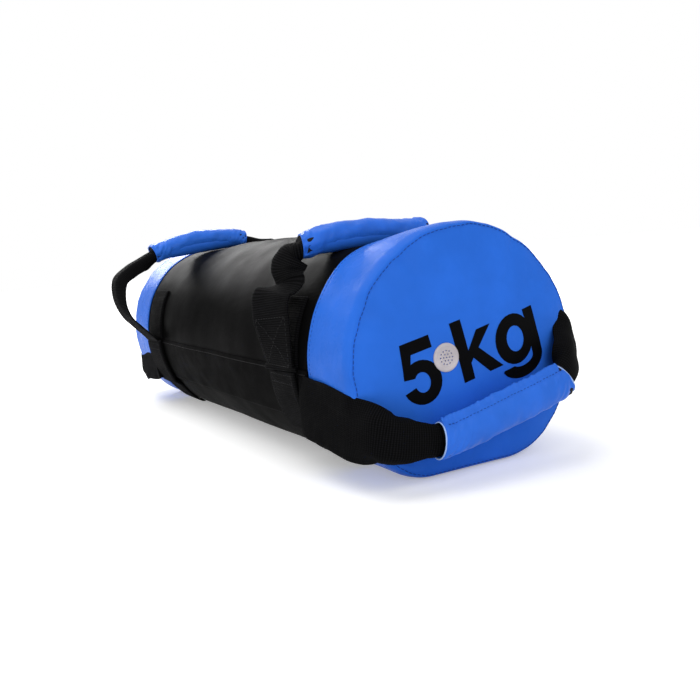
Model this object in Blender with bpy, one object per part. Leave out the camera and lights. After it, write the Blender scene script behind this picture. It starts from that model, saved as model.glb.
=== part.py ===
"""A stuffed training bag that lies on the floor: vinyl barrel and ends, filling, four webbing handles.

World frame: +X along the bag to its near end, +Z up, the floor at zero, the origin under the bag's
middle. The bag lies rolled about its own axis, so most pieces are modelled in the bag's frame, whose
origin is on the bag's axis, and hang on an empty that carries the roll. A bag angle is measured in
the bag's own cross section: 0 degrees to the right side, 90 over the top, 180 to the left side.
"""

import math

import bmesh
import bpy
from mathutils import Matrix, Vector

# Driving sizes of the stuffed body, in metres and degrees

BAG_RADIUS = 0.100
SEAM_TO_SEAM = 0.590
BAND_WIDTH = 0.069
SAG = 0.0155
SAG_CORNER_LEFT = 0.046
SAG_CORNER_RIGHT = 0.064
ROLL_DEG = 12.5
DISC_CROWN = 0.008
FACET_DEG = 6

# The hollows that the top handles press into the bag

NEAR_HOLLOW_DEPTH = 0.015
FAR_HOLLOW_DEPTH = 0.0055
HOLLOW_FROM_SEAM = 0.115
HOLLOW_HALF_LENGTH = 0.105
HOLLOW_MIDDLE_DEG = 75
HOLLOW_HALF_DEG = 44

# Sheet and webbing

VINYL = 0.0012
SEAM_ALLOWANCE = 0.012
DISC_SKIRT = 0.010
LINER_WALL = 0.0008
LINER_NECK_RADIUS = 0.016
FILLING_CLEARANCE = 0.0009
STRIP_THICKNESS = 0.0012
STRIP_MARGIN = 0.0005
WEBBING_WIDTH = 0.048
WEBBING_THICKNESS = 0.0020
GAP = 0.0003

# Handles

GRIP_LENGTH = 0.114
GRIP_WIDTH = 0.029
GRIP_THICKNESS = 0.021
SLEEVE_WALL = 0.0010
FOLDED_WIDTH = 0.023
FOLDED_THICKNESS = 0.0040
TOP_FOLD_RUN = 0.026
END_FOLD_RUN = 0.070
SLOT_CLEARANCE = 0.0006
GRIP_CLEARANCE = 0.001
TOP_HANDLE_FROM_SEAM = 0.109
TOP_FOOT_DEG = 169.5
TOP_ANCHOR_UPPER_DEG = 136
TOP_TAIL_LOWER_DEG = 222
TOP_TAIL_STEP_DEG = 6
END_HINGE_FROM_SEAM = 0.0605
END_HINGE_DROP = 0.008
END_GRIP_DROP = 0.0385
END_GRIP_SHIFT = 0.0005
HAND_GAP = 0.0065
SIDE_STRIP_DEG = 182.5
END_ANCHOR_START = 0.072
END_ANCHOR_END = 0.134

# Vent eyelet in the near disc, placed from the bag's axis

VENT_ACROSS = -0.0256
VENT_UP = 0.0104
VENT_FLANGE_RADIUS = 0.0105
VENT_FLANGE_THICKNESS = 0.0014
VENT_BARREL_RADIUS = 0.0080
VENT_BARREL_LENGTH = 0.0040
VENT_WASHER_RADIUS = 0.0100
VENT_WASHER_THICKNESS = 0.0008
VENT_HOLE_RADIUS = 0.0006
VENT_HOLE_PITCH = 0.0027

# Loops of the handles, chosen by hand from the photograph. A top loop's rows hold the bag angle in
# degrees and the centre line's distance from the bag's axis as a share of the bag's radius. An end
# loop's rows hold shares of the hinge's distance behind the seam, of the reach in front of it, of the
# half width across the loop and of the grip's drop.

NEAR_TOP_LOOP_SHARES = (
    (165, 1.060), (159, 1.080), (153, 1.120), (147, 1.150), (141, 1.170), (137, 1.180), (132, 1.150),
    (128, 1.190), (124, 1.240), (121, 1.250), (118, 1.200), (116, 1.170), (110, 1.133), (104, 1.087),
    (98, 1.047), (92, 1.019), (86, 0.995), (80, 0.979), (74, 0.973), (68, 0.975), (62, 0.995),
    (56, 1.030), (50, 1.060), (42, 1.080), (34, 1.080), (26, 1.070), (18, 1.060),
)
FAR_TOP_LOOP_SHARES = (
    (166, 1.100), (160, 1.235), (154, 1.400), (147.5, 1.510), (140.5, 1.560), (134, 1.490),
    (129, 1.420), (122, 1.343), (116, 1.271), (110, 1.221), (104, 1.187), (98, 1.151), (92, 1.119),
    (86, 1.097), (80, 1.081), (74, 1.067), (68, 1.061), (62, 1.070), (56, 1.090), (50, 1.120),
    (40, 1.120), (30, 1.100), (20, 1.075),
)
NEAR_GRIP_MIDDLE_DEG = 88
FAR_GRIP_MIDDLE_DEG = 97
END_LOOP_SHARES = (
    (1.00, 0.00, -1.00, 0.00), (0.75, 0.00, -1.00, 0.03), (0.41, 0.00, -1.00, 0.14),
    (0.13, 0.00, -1.00, 0.24), (0.00, 0.46, -0.970, 0.32), (0.00, 0.80, -0.895, 0.46),
    (0.00, 0.92, -0.79, 0.64), (0.00, 0.98, -0.66, 0.82), (0.00, 1.00, -0.54, 0.96),
    (0.00, 1.00, -0.30, 1.00), (0.00, 1.00, 0.00, 1.00), (0.00, 1.00, 0.30, 1.00),
    (0.00, 1.00, 0.53, 0.97), (0.00, 0.97, 0.65, 0.85), (0.00, 0.90, 0.76, 0.68),
    (0.00, 0.74, 0.870, 0.50), (0.00, 0.40, 0.96, 0.34), (0.13, 0.00, 1.00, 0.24),
    (0.41, 0.00, 1.00, 0.14), (0.75, 0.00, 1.00, 0.03), (1.00, 0.00, 1.00, 0.00),
)
DISC_RING_SHARES = (0.92, 0.72, 0.45, 0.15)
DISC_CROWN_POWER = 2.5
LINER_END_SHARE = 0.90
LUG_STATION_DEG = (15, 35, 60, 90)

# Sides and steps of the round pieces

GRIP_SIDES = 12
GRIP_STEPS = 11
HOLLOW_STEPS = 3
STRAP_STEP = 0.012
PATH_STEPS = 10
VENT_SIDES = 24
VENT_HOLE_SIDES = 8

# Sizes worked out from the driving ones

HALF_LENGTH = SEAM_TO_SEAM / 2
AXIS_HEIGHT = BAG_RADIUS - SAG
BAND_EDGE = HALF_LENGTH - BAND_WIDTH
ROLL = math.radians(ROLL_DEG)
STRIP_LIFT = GAP
END_ANCHOR_LIFT = STRIP_LIFT + STRIP_THICKNESS + GAP
FREE_STRAP_LIFT = END_ANCHOR_LIFT + WEBBING_THICKNESS + GAP
LAP_DEPTH = VINYL + GAP
LINER_DEPTH = 2 * VINYL + 2 * GAP
FILLING_DEPTH = LINER_DEPTH + LINER_WALL + FILLING_CLEARANCE
SIDE_REACH = BAG_RADIUS + FREE_STRAP_LIFT + WEBBING_THICKNESS / 2
FRONT_REACH = GAP + VINYL + DISC_CROWN + HAND_GAP + GRIP_THICKNESS / 2
TOP_HANDLE_X = HALF_LENGTH - TOP_HANDLE_FROM_SEAM
END_HINGE_X = HALF_LENGTH - END_HINGE_FROM_SEAM
STRIP_HALF_DEG = math.degrees((WEBBING_WIDTH / 2 + STRIP_MARGIN) / BAG_RADIUS)
WEBBING_HALF_DEG = math.degrees(WEBBING_WIDTH / BAG_RADIUS) / 2
GAP_DEG = math.degrees(GAP / BAG_RADIUS)
TOP_ANCHOR_LOWER_DEG = SIDE_STRIP_DEG - STRIP_HALF_DEG - 2 * GAP_DEG
TOP_TAIL_UPPER_DEG = TOP_FOOT_DEG + 2 * GAP_DEG
TOP_TAIL_BEND_DEG = SIDE_STRIP_DEG + STRIP_HALF_DEG + 2 * GAP_DEG

BLUE = (0.045, 0.180, 0.830)
BLACK_VINYL = (0.012, 0.012, 0.013)
BLACK_WEBBING = (0.010, 0.010, 0.011)
PALE_GREY = (0.520, 0.480, 0.500)
FOAM_GREY = (0.150, 0.150, 0.160)
LINER_WHITE = (0.600, 0.600, 0.580)
FILLING_BROWN = (0.330, 0.270, 0.200)


def clear_scene():
    for item in list(bpy.data.objects):
        bpy.data.objects.remove(item, do_unlink=True)


def make_material(name, colour, roughness, metallic=0.0):
    material = bpy.data.materials.new(name)
    material.use_nodes = True
    shader = material.node_tree.nodes["Principled BSDF"]
    shader.inputs["Base Color"].default_value = (*colour, 1)
    shader.inputs["Roughness"].default_value = roughness
    shader.inputs["Metallic"].default_value = metallic
    return material


# The stuffed bag's surface

def section_radius(world_deg):
    """Distance from the axis to the sagged outline: a round top, a flat bottom, two round corners."""
    angle = math.radians(world_deg)
    direction = Vector((math.cos(angle), math.sin(angle)))
    corner_radius = SAG_CORNER_RIGHT if direction.x > 0 else SAG_CORNER_LEFT
    corner_down = AXIS_HEIGHT - corner_radius
    corner_across = math.sqrt((BAG_RADIUS - corner_radius) ** 2 - corner_down ** 2)
    if direction.y >= -corner_down / (BAG_RADIUS - corner_radius):
        return BAG_RADIUS
    flat = AXIS_HEIGHT / -direction.y
    if abs(flat * direction.x) <= corner_across:
        return flat
    corner = Vector((math.copysign(corner_across, direction.x), -corner_down))
    along = corner.dot(direction)
    return along + math.sqrt(corner_radius ** 2 - corner.length_squared + along ** 2)


def hollow_at(bag_deg, x):
    """Depth of the hollow under a top handle."""
    depth = NEAR_HOLLOW_DEPTH if x > 0 else FAR_HOLLOW_DEPTH
    along = (abs(x) - HALF_LENGTH + HOLLOW_FROM_SEAM) / HOLLOW_HALF_LENGTH
    round_share = (bag_deg - HOLLOW_MIDDLE_DEG) / HOLLOW_HALF_DEG
    if abs(along) >= 1 or abs(round_share) >= 1:
        return 0
    return depth * (math.cos(along * math.pi / 2) * math.cos(round_share * math.pi / 2)) ** 2


def skin(bag_deg, x):
    """Distance from the bag's axis to its outer surface."""
    return section_radius(bag_deg + ROLL_DEG) - hollow_at(bag_deg, x)


def polar(x, radius, bag_deg):
    angle = math.radians(bag_deg)
    return Vector((x, radius * math.cos(angle), radius * math.sin(angle)))


def skin_point(bag_deg, x, lift):
    """A point above the skin's flat facets, which lie between multiples of the facet angle."""
    start = math.floor(bag_deg / FACET_DEG) * FACET_DEG
    low = polar(x, skin(start, x) + lift, start)
    high = polar(x, skin(start + FACET_DEG, x) + lift, start + FACET_DEG)
    return low.lerp(high, (bag_deg - start) / FACET_DEG)


def skin_ring(x, lift, share=1.0):
    """A closed ring round the bag, drawn in to a share of its radius where one is given."""
    count = round(360 / FACET_DEG)
    return [polar(x, (skin(i * FACET_DEG, x) + lift) * share, i * FACET_DEG) for i in range(count)]


# Lofts

def loft(rings, closed=False):
    """Extrudes a ring of points from place to place, and joins the run to itself or caps its ends."""
    mesh = bmesh.new()
    row = [mesh.verts.new(point) for point in rings[0]]
    first = [mesh.edges.new((row[i - 1], row[i])) for i in range(len(row))]
    edges = first
    for ring in [*rings[1:], rings[0]] if closed else rings[1:]:
        made = bmesh.ops.extrude_edge_only(mesh, edges=edges)["geom"]
        fresh = {item for item in made if isinstance(item, bmesh.types.BMVert)}
        row = [next(v for v in linked(old) if v in fresh) for old in row]
        lines = [item for item in made if isinstance(item, bmesh.types.BMEdge)]
        edges = [line for line in lines if fresh.issuperset(line.verts)]
        for vertex, point in zip(row, ring):
            vertex.co = point
    if closed:
        bmesh.ops.remove_doubles(mesh, verts=mesh.verts, dist=GAP / 10)
    else:
        bmesh.ops.contextual_create(mesh, geom=first)
        bmesh.ops.contextual_create(mesh, geom=edges)
    bmesh.ops.recalc_face_normals(mesh, faces=mesh.faces)
    return mesh


def linked(vertex):
    return [edge.other_vert(vertex) for edge in vertex.link_edges]


def add_object(name, mesh, material, parent, smooth_deg=35):
    """Puts a mesh in the bag's frame into the scene under an empty of that frame."""
    data = bpy.data.meshes.new(name)
    mesh.to_mesh(data)
    mesh.free()
    data.materials.append(material)
    data.shade_smooth()
    data.set_sharp_from_angle(angle=math.radians(smooth_deg))
    item = bpy.data.objects.new(name, data)
    bpy.context.scene.collection.objects.link(item)
    item.parent = parent
    if parent.parent:
        item.location = -parent.location
    return item


def add_empty(name, location, parent=None):
    empty = bpy.data.objects.new(name, None)
    empty.location = location
    empty.parent = parent
    bpy.context.scene.collection.objects.link(empty)
    return empty


# Barrel, bands and discs

def hollow_stations(limit):
    """Places along the bag, short of a limit at both ends, that follow its hollows and its laps."""
    middle = HALF_LENGTH - HOLLOW_FROM_SEAM
    places = [BAND_EDGE - GAP, BAND_EDGE + SEAM_ALLOWANCE]
    for i in range(-HOLLOW_STEPS, HOLLOW_STEPS + 1):
        places.append(middle + HOLLOW_HALF_LENGTH * i / HOLLOW_STEPS)
    near = [x for x in sorted(places) if x < limit]
    return [-x for x in reversed(near)] + near


def barrel_shell():
    """A tube whose two ends step in under the side bands."""
    shoulder = BAND_EDGE - GAP
    lap_end = BAND_EDGE + SEAM_ALLOWANCE
    between = hollow_stations(shoulder - 2 * VINYL)
    outer = [-shoulder, *between, shoulder]
    inner = [-shoulder + VINYL, *between, shoulder - VINYL]
    rings = [skin_ring(-lap_end, -LAP_DEPTH), skin_ring(-shoulder, -LAP_DEPTH)]
    rings += [skin_ring(x, 0) for x in outer]
    rings += [skin_ring(shoulder, -LAP_DEPTH), skin_ring(lap_end, -LAP_DEPTH)]
    rings += [skin_ring(lap_end, -LAP_DEPTH - VINYL), skin_ring(shoulder, -LAP_DEPTH - VINYL)]
    rings += [skin_ring(x, -VINYL) for x in reversed(inner)]
    rings += [skin_ring(-shoulder, -LAP_DEPTH - VINYL), skin_ring(-lap_end, -LAP_DEPTH - VINYL)]
    return loft(rings, closed=True)


def side_band(end):
    """A tube over the barrel's end, from its own back edge to the seam."""
    inside = [x for x in hollow_stations(HALF_LENGTH - VINYL) if x > BAND_EDGE + VINYL]
    stations = [end * x for x in (BAND_EDGE, *inside, HALF_LENGTH)]
    rings = [skin_ring(x, 0) for x in stations]
    rings += [skin_ring(x, -VINYL) for x in reversed(stations)]
    return loft(rings, closed=True)


def disc_height(share):
    """How far the disc's outer face stands beyond the seam."""
    return GAP + VINYL + DISC_CROWN * (1 - share ** DISC_CROWN_POWER)


def end_disc(end):
    """A crowned panel with a skirt turned in behind the side band."""
    seam = end * HALF_LENGTH
    skirt_end = end * (HALF_LENGTH - DISC_SKIRT)
    rim = end * (HALF_LENGTH + GAP)
    skirt_depth = LAP_DEPTH + VINYL
    rings = [skin_ring(seam + end * disc_height(share), 0, share) for share in reversed(DISC_RING_SHARES)]
    rings += [skin_ring(seam + end * disc_height(1), 0), skin_ring(rim, 0)]
    rings += [skin_ring(rim, -LAP_DEPTH), skin_ring(skirt_end, -LAP_DEPTH)]
    rings += [skin_ring(skirt_end, -skirt_depth), skin_ring(rim, -skirt_depth)]
    inner = [share for share in DISC_RING_SHARES if share < 1 - skirt_depth / BAG_RADIUS]
    rings += [skin_ring(seam + end * (disc_height(share) - VINYL), 0, share) for share in inner]
    return loft(rings)


# Filling and liner

def liner_rings():
    """Rings of a sack round the filling, from its outer far neck to its inner one."""
    end = HALF_LENGTH - GAP
    shoulder = HALF_LENGTH - DISC_SKIRT
    neck_share = LINER_NECK_RADIUS / BAG_RADIUS
    stations = [-shoulder, *hollow_stations(shoulder - LINER_WALL), shoulder]
    rings = [skin_ring(-end, 0, neck_share), skin_ring(-end, 0, LINER_END_SHARE)]
    rings += [skin_ring(x, -LINER_DEPTH) for x in stations]
    rings += [skin_ring(end, 0, LINER_END_SHARE), skin_ring(end, 0, neck_share)]
    inner_end = end - LINER_WALL
    inner_depth = -LINER_DEPTH - LINER_WALL
    rings += [skin_ring(inner_end, 0, neck_share / 2), skin_ring(inner_end, inner_depth, LINER_END_SHARE)]
    rings += [skin_ring(x, inner_depth) for x in reversed(stations)]
    rings += [skin_ring(-inner_end, inner_depth, LINER_END_SHARE), skin_ring(-inner_end, 0, neck_share)]
    return rings


def liner_mesh():
    """The liner: open at its far neck, closed across its near end on both faces."""
    rings = liner_rings()
    turn = next(i for i in range(1, len(rings)) if rings[i][0].x < rings[i - 1][0].x)
    return loft(rings[turn:] + rings[:turn])


def filling_mesh():
    """The packed filling, one solid just inside the liner."""
    end = HALF_LENGTH - 2 * GAP - LINER_WALL
    shoulder = HALF_LENGTH - DISC_SKIRT - LINER_WALL
    depth = -FILLING_DEPTH
    rings = [skin_ring(-end, depth, LINER_END_SHARE)]
    rings += [skin_ring(x, depth) for x in (-shoulder, *hollow_stations(shoulder - LINER_WALL), shoulder)]
    rings += [skin_ring(end, depth, LINER_END_SHARE)]
    return loft(rings)


# Pieces that lie on the barrel

def level(start_deg, end_deg, lift):
    """Pairs of a bag angle and a lift above the skin, one at each edge of a facet between two angles."""
    first = math.floor(start_deg / FACET_DEG) + 1
    last = math.ceil(end_deg / FACET_DEG)
    angles = [start_deg, *[i * FACET_DEG for i in range(first, last)], end_deg]
    return [(angle, lift) for angle in angles]


def patch(spots, side, stations, thickness):
    """A sheet over the barrel through spots that are given for its left side."""
    if side == "right":
        spots = [(180 - angle, lift) for angle, lift in spots]
    rings = []
    for x in stations:
        ring = [skin_point(angle, x, lift) for angle, lift in spots]
        ring += [skin_point(angle, x, lift + thickness) for angle, lift in reversed(spots)]
        rings.append(ring)
    return loft(rings)


def side_strip(side):
    """The long reinforcing strip between the two side bands."""
    spots = level(SIDE_STRIP_DEG - STRIP_HALF_DEG, SIDE_STRIP_DEG + STRIP_HALF_DEG, STRIP_LIFT)
    reach = BAND_EDGE - 2 * GAP
    return patch(spots, side, (-reach, reach), STRIP_THICKNESS)


def top_handle_edges(end):
    """Both edges of a top handle's webbing, where it lies along the bag."""
    return end * TOP_HANDLE_X - WEBBING_WIDTH / 2, end * TOP_HANDLE_X + WEBBING_WIDTH / 2


def top_anchor(end, side):
    """The sewn end of a top handle's webbing, above the side strip."""
    spots = level(TOP_ANCHOR_UPPER_DEG, TOP_ANCHOR_LOWER_DEG, GAP)
    return patch(spots, side, top_handle_edges(end), WEBBING_THICKNESS)


def top_tail(end, side):
    """The rest of that webbing, sewn over the side strip and on down the barrel."""
    spots = level(TOP_TAIL_UPPER_DEG, TOP_TAIL_BEND_DEG, FREE_STRAP_LIFT)
    spots += level(TOP_TAIL_BEND_DEG + TOP_TAIL_STEP_DEG, TOP_TAIL_LOWER_DEG, GAP)
    return patch(spots, side, top_handle_edges(end), WEBBING_THICKNESS)


def end_anchor(end, side):
    """The sewn end of an end handle's webbing, on the side strip."""
    spots = level(SIDE_STRIP_DEG - WEBBING_HALF_DEG, SIDE_STRIP_DEG + WEBBING_HALF_DEG, END_ANCHOR_LIFT)
    stations = (end * (HALF_LENGTH - END_ANCHOR_END), end * (HALF_LENGTH - END_ANCHOR_START))
    return patch(spots, side, stations, WEBBING_THICKNESS)


# Handle loops

def smooth_path(points):
    """A Catmull-Rom curve through the points, as a fine run of points."""
    ends = [2 * points[0] - points[1], *points, 2 * points[-1] - points[-2]]
    path = []
    for a, b, c, d in zip(ends, ends[1:], ends[2:], ends[3:]):
        for step in range(PATH_STEPS):
            t = step / PATH_STEPS
            bend = 2 * a - 5 * b + 4 * c - d
            path.append((2 * b + (c - a) * t + bend * t ** 2 + (3 * b - 3 * c + d - a) * t ** 3) / 2)
    path.append(points[-1])
    return path


def path_lengths(path):
    lengths = [0.0]
    for a, b in zip(path, path[1:]):
        lengths.append(lengths[-1] + (b - a).length)
    return lengths


def point_at(path, lengths, distance):
    """The point and the direction at a distance along the path."""
    i = 1
    while i < len(path) - 1 and lengths[i] < distance:
        i += 1
    share = (distance - lengths[i - 1]) / (lengths[i] - lengths[i - 1])
    before = path[max(i - 2, 0)]
    after = path[min(i + 1, len(path) - 1)]
    return path[i - 1].lerp(path[i], share), (after - before).normalized()


def top_loop(end, rows):
    """The centre line of a top handle, from its left foot to its right one."""
    foot = BAG_RADIUS + FREE_STRAP_LIFT + WEBBING_THICKNESS / 2
    x = end * TOP_HANDLE_X
    points = [polar(x, foot, TOP_FOOT_DEG)]
    for angle, share in rows:
        rest = skin(angle, x) + FREE_STRAP_LIFT + WEBBING_THICKNESS / 2
        points.append(polar(x, max(share * BAG_RADIUS, rest), angle))
    points.append(polar(x, foot, 180 - TOP_FOOT_DEG))
    return points


def seat_grip(points, middle_deg):
    """Raises a top loop's points under the grip until the grip clears the skin."""
    half_deg = math.degrees(GRIP_LENGTH / 2 / BAG_RADIUS)
    seated = []
    for point in points:
        angle = math.degrees(math.atan2(point.z, point.y))
        radius = math.hypot(point.y, point.z)
        if abs(angle - middle_deg) <= half_deg:
            radius = max(radius, skin(angle, point.x) + GRIP_THICKNESS / 2 + GRIP_CLEARANCE)
        seated.append(polar(point.x, radius, angle))
    return seated


def end_loop(end):
    """The centre line of an end handle, from its left hinge to its right one."""
    points = []
    for back_share, front_share, across_share, drop_share in END_LOOP_SHARES:
        x = HALF_LENGTH - back_share * END_HINGE_FROM_SEAM + front_share * FRONT_REACH
        z = -END_HINGE_DROP - drop_share * (END_GRIP_DROP - END_HINGE_DROP)
        points.append(Vector((end * x, across_share * SIDE_REACH, z)))
    return points


def grip_span(path, lengths, middle):
    """Distances along the path where the sleeve starts and ends, about the place nearest its middle."""
    nearest = min(range(len(path)), key=lambda i: (path[i] - middle).length)
    return lengths[nearest] - GRIP_LENGTH / 2, lengths[nearest] + GRIP_LENGTH / 2


def section_axes(direction, width_axis):
    width = (width_axis - width_axis.dot(direction) * direction).normalized()
    return width, direction.cross(width)


def flat_ring(path, lengths, distance, width_axis, width, thickness):
    """A rectangle across the path."""
    point, direction = point_at(path, lengths, distance)
    across, normal = section_axes(direction, width_axis)
    across *= width / 2
    normal *= thickness / 2
    inner = [point - across - normal, point + across - normal]
    return [*inner, point + across + normal, point - across + normal]


def oval_ring(path, lengths, distance, width_axis, width, thickness):
    """An oval across the path."""
    point, direction = point_at(path, lengths, distance)
    across, normal = section_axes(direction, width_axis)
    turns = [2 * math.pi * i / GRIP_SIDES for i in range(GRIP_SIDES)]
    return [point + across * math.cos(t) * width / 2 + normal * math.sin(t) * thickness / 2 for t in turns]


def even(start, end, steps):
    """Evenly spaced places from start to end, both included."""
    return [start + (end - start) * i / steps for i in range(steps + 1)]


def webbing_mesh(path, width_axis, span, fold_run, lug_ends):
    """One length of webbing: flat at its ends, folded in half where it runs through the grip."""
    lengths = path_lengths(path)
    total = lengths[-1]
    lug = []
    if lug_ends:
        for turn in [math.radians(angle) for angle in LUG_STATION_DEG]:
            lug.append((WEBBING_WIDTH / 2 * (1 - math.cos(turn)), math.sin(turn)))
    first = WEBBING_WIDTH / 2 if lug_ends else 0
    last = total - first
    before = even(first, span[0], round((span[0] - first) / STRAP_STEP))
    after = even(span[1], last, round((last - span[1]) / STRAP_STEP))
    run = [(distance, 1) for distance in before[:-1] + even(*span, GRIP_STEPS) + after[1:]]
    stations = lug[:-1] + run + [(total - distance, share) for distance, share in reversed(lug[:-1])]
    rings = []
    for distance, width_share in stations:
        outside = max(span[0] - distance, distance - span[1], 0)
        flatness = min(outside / fold_run, 1)
        flatness = flatness ** 2 * (3 - 2 * flatness)
        width = FOLDED_WIDTH + (WEBBING_WIDTH - FOLDED_WIDTH) * flatness
        thickness = FOLDED_THICKNESS + (WEBBING_THICKNESS - FOLDED_THICKNESS) * flatness
        rings.append(flat_ring(path, lengths, distance, width_axis, width * width_share, thickness))
    return loft(rings)


def sleeve_mesh(path, width_axis, span):
    """The vinyl sleeve, a tube that is open at both ends."""
    lengths = path_lengths(path)
    places = even(*span, GRIP_STEPS)
    outer = [oval_ring(path, lengths, d, width_axis, GRIP_WIDTH, GRIP_THICKNESS) for d in places]
    width = GRIP_WIDTH - 2 * SLEEVE_WALL
    thickness = GRIP_THICKNESS - 2 * SLEEVE_WALL
    inner = [oval_ring(path, lengths, d, width_axis, width, thickness) for d in reversed(places)]
    return loft(outer + inner, closed=True)


def foam_mesh(path, width_axis, span):
    """The padding inside a sleeve, with a slot for the folded webbing."""
    lengths = path_lengths(path)
    places = even(*span, GRIP_STEPS)
    inset = 2 * (SLEEVE_WALL + GAP)
    width = GRIP_WIDTH - inset
    thickness = GRIP_THICKNESS - inset
    outer = [oval_ring(path, lengths, d, width_axis, width, thickness) for d in places]
    slot_width = FOLDED_WIDTH + 2 * SLOT_CLEARANCE
    slot_thickness = FOLDED_THICKNESS + 2 * SLOT_CLEARANCE
    inner = [flat_ring(path, lengths, d, width_axis, slot_width, slot_thickness) for d in places]
    mesh = loft(outer)
    cut = loft([grown(inner[0], inner[1]), *inner, grown(inner[-1], inner[-2])])
    return mesh, cut


def grown(ring, neighbour):
    """The ring moved outwards past the end of the foam, so that the slot cuts right through."""
    return [point + (point - other).normalized() * GRIP_CLEARANCE for point, other in zip(ring, neighbour)]


def add_cutter(name, mesh, parent):
    cutter = add_object(name, mesh, MATERIALS["foam"], parent)
    cutter.hide_render = True
    cutter.display_type = "WIRE"
    return cutter


def cut_object(item, cutter):
    modifier = item.modifiers.new("cut", "BOOLEAN")
    modifier.operation = "DIFFERENCE"
    modifier.solver = "EXACT"
    modifier.object = cutter


def add_handle(name, loop, width_axis, grip_middle, fold_run, lug_ends, parent):
    """Webbing, foam and sleeve of one handle."""
    path = smooth_path(loop)
    if lug_ends:
        backward = (path[0] - path[1]).normalized() * WEBBING_WIDTH / 2
        forward = (path[-1] - path[-2]).normalized() * WEBBING_WIDTH / 2
        path = [path[0] + backward, *path, path[-1] + forward]
    lengths = path_lengths(path)
    span = grip_span(path, lengths, grip_middle)
    webbing = webbing_mesh(path, width_axis, span, fold_run, lug_ends)
    add_object(f"{name}_webbing", webbing, MATERIALS["webbing"], parent)
    add_object(f"{name}_sleeve", sleeve_mesh(path, width_axis, span), MATERIALS["blue"], parent)
    foam, slot = foam_mesh(path, width_axis, span)
    body = add_object(f"{name}_foam", foam, MATERIALS["foam"], parent)
    cut_object(body, add_cutter(f"{name}_slot_cutter", slot, parent))


# Vent eyelet

def vent_frame():
    """Place and direction of the eyelet on the near disc."""
    radius = math.hypot(VENT_ACROSS, VENT_UP)
    share = radius / BAG_RADIUS
    slope = DISC_CROWN * DISC_CROWN_POWER * share ** (DISC_CROWN_POWER - 1) / BAG_RADIUS
    outward = Vector((1, slope * VENT_ACROSS / radius, slope * VENT_UP / radius)).normalized()
    place = Vector((HALF_LENGTH + disc_height(share), VENT_ACROSS, VENT_UP))
    return Matrix.Translation(place) @ outward.to_track_quat("Z", "Y").to_matrix().to_4x4()


def turned(profile, sides):
    """A turned solid from a profile of (radius, height) pairs that runs from axis to axis."""
    mesh = bmesh.new()
    vertices = [mesh.verts.new((radius, 0, height)) for radius, height in profile]
    edges = [mesh.edges.new(pair) for pair in zip(vertices, vertices[1:])]
    bmesh.ops.spin(mesh, geom=vertices + edges, cent=(0, 0, 0), axis=(0, 0, 1), angle=2 * math.pi,
                   steps=sides, use_merge=True)
    bmesh.ops.remove_doubles(mesh, verts=mesh.verts, dist=GAP / 10)
    bmesh.ops.recalc_face_normals(mesh, faces=mesh.faces)
    return mesh


def grille_holes():
    """Places of the grille's holes: one in the middle and two rings round it."""
    places = [(0.0, 0.0)]
    for ring in (1, 2):
        count = 6 * ring
        for i in range(count):
            spot = polar(0, ring * VENT_HOLE_PITCH, 360 * i / count)
            places.append((spot.y, spot.z))
    return places


def add_vent(frame, disc):
    """The eyelet through the disc, its washer behind it, and the disc's hole."""
    place = vent_frame()
    barrel_end = -VENT_BARREL_LENGTH
    flange_top = GAP + VENT_FLANGE_THICKNESS
    half = VENT_FLANGE_THICKNESS / 2
    eyelet = turned([(0, barrel_end), (VENT_BARREL_RADIUS, barrel_end), (VENT_BARREL_RADIUS, GAP),
                     (VENT_FLANGE_RADIUS, GAP), (VENT_FLANGE_RADIUS, GAP + half),
                     (VENT_FLANGE_RADIUS - half, flange_top), (0, flange_top)], VENT_SIDES)
    bmesh.ops.transform(eyelet, matrix=place, verts=eyelet.verts)
    vent = add_object("vent_eyelet", eyelet, MATERIALS["vent"], frame)
    holes = bmesh.new()
    depth = VENT_BARREL_LENGTH + 2 * VENT_FLANGE_THICKNESS + 2 * GAP
    for x, y in grille_holes():
        spot = place @ Matrix.Translation((x, y, (flange_top + barrel_end) / 2))
        bmesh.ops.create_cone(holes, cap_ends=True, segments=VENT_HOLE_SIDES, radius1=VENT_HOLE_RADIUS,
                              radius2=VENT_HOLE_RADIUS, depth=depth, matrix=spot)
    cut_object(vent, add_cutter("vent_hole_cutter", holes, frame))
    bore = VENT_BARREL_RADIUS + GAP
    opening = bmesh.new()
    bmesh.ops.create_cone(opening, cap_ends=True, segments=VENT_SIDES, radius1=bore, radius2=bore,
                          depth=4 * VENT_BARREL_LENGTH, matrix=place)
    cut_object(disc, add_cutter("vent_opening_cutter", opening, frame))
    washer_top = -VINYL - 2 * GAP
    washer_bottom = washer_top - VENT_WASHER_THICKNESS
    ring = turned([(bore, washer_bottom), (VENT_WASHER_RADIUS, washer_bottom),
                   (VENT_WASHER_RADIUS, washer_top), (bore, washer_top), (bore, washer_bottom)], VENT_SIDES)
    bmesh.ops.transform(ring, matrix=place, verts=ring.verts)
    add_object("vent_washer", ring, MATERIALS["vent"], frame)


def make_materials():
    return {
        "blue": make_material("blue_vinyl", BLUE, 0.35),
        "black": make_material("black_vinyl", BLACK_VINYL, 0.50),
        "webbing": make_material("black_webbing", BLACK_WEBBING, 0.85),
        "vent": make_material("vent_plastic", PALE_GREY, 0.45),
        "foam": make_material("grip_foam", FOAM_GREY, 0.95),
        "liner": make_material("liner_cloth", LINER_WHITE, 0.90),
        "filling": make_material("packed_filling", FILLING_BROWN, 0.95),
    }


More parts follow.
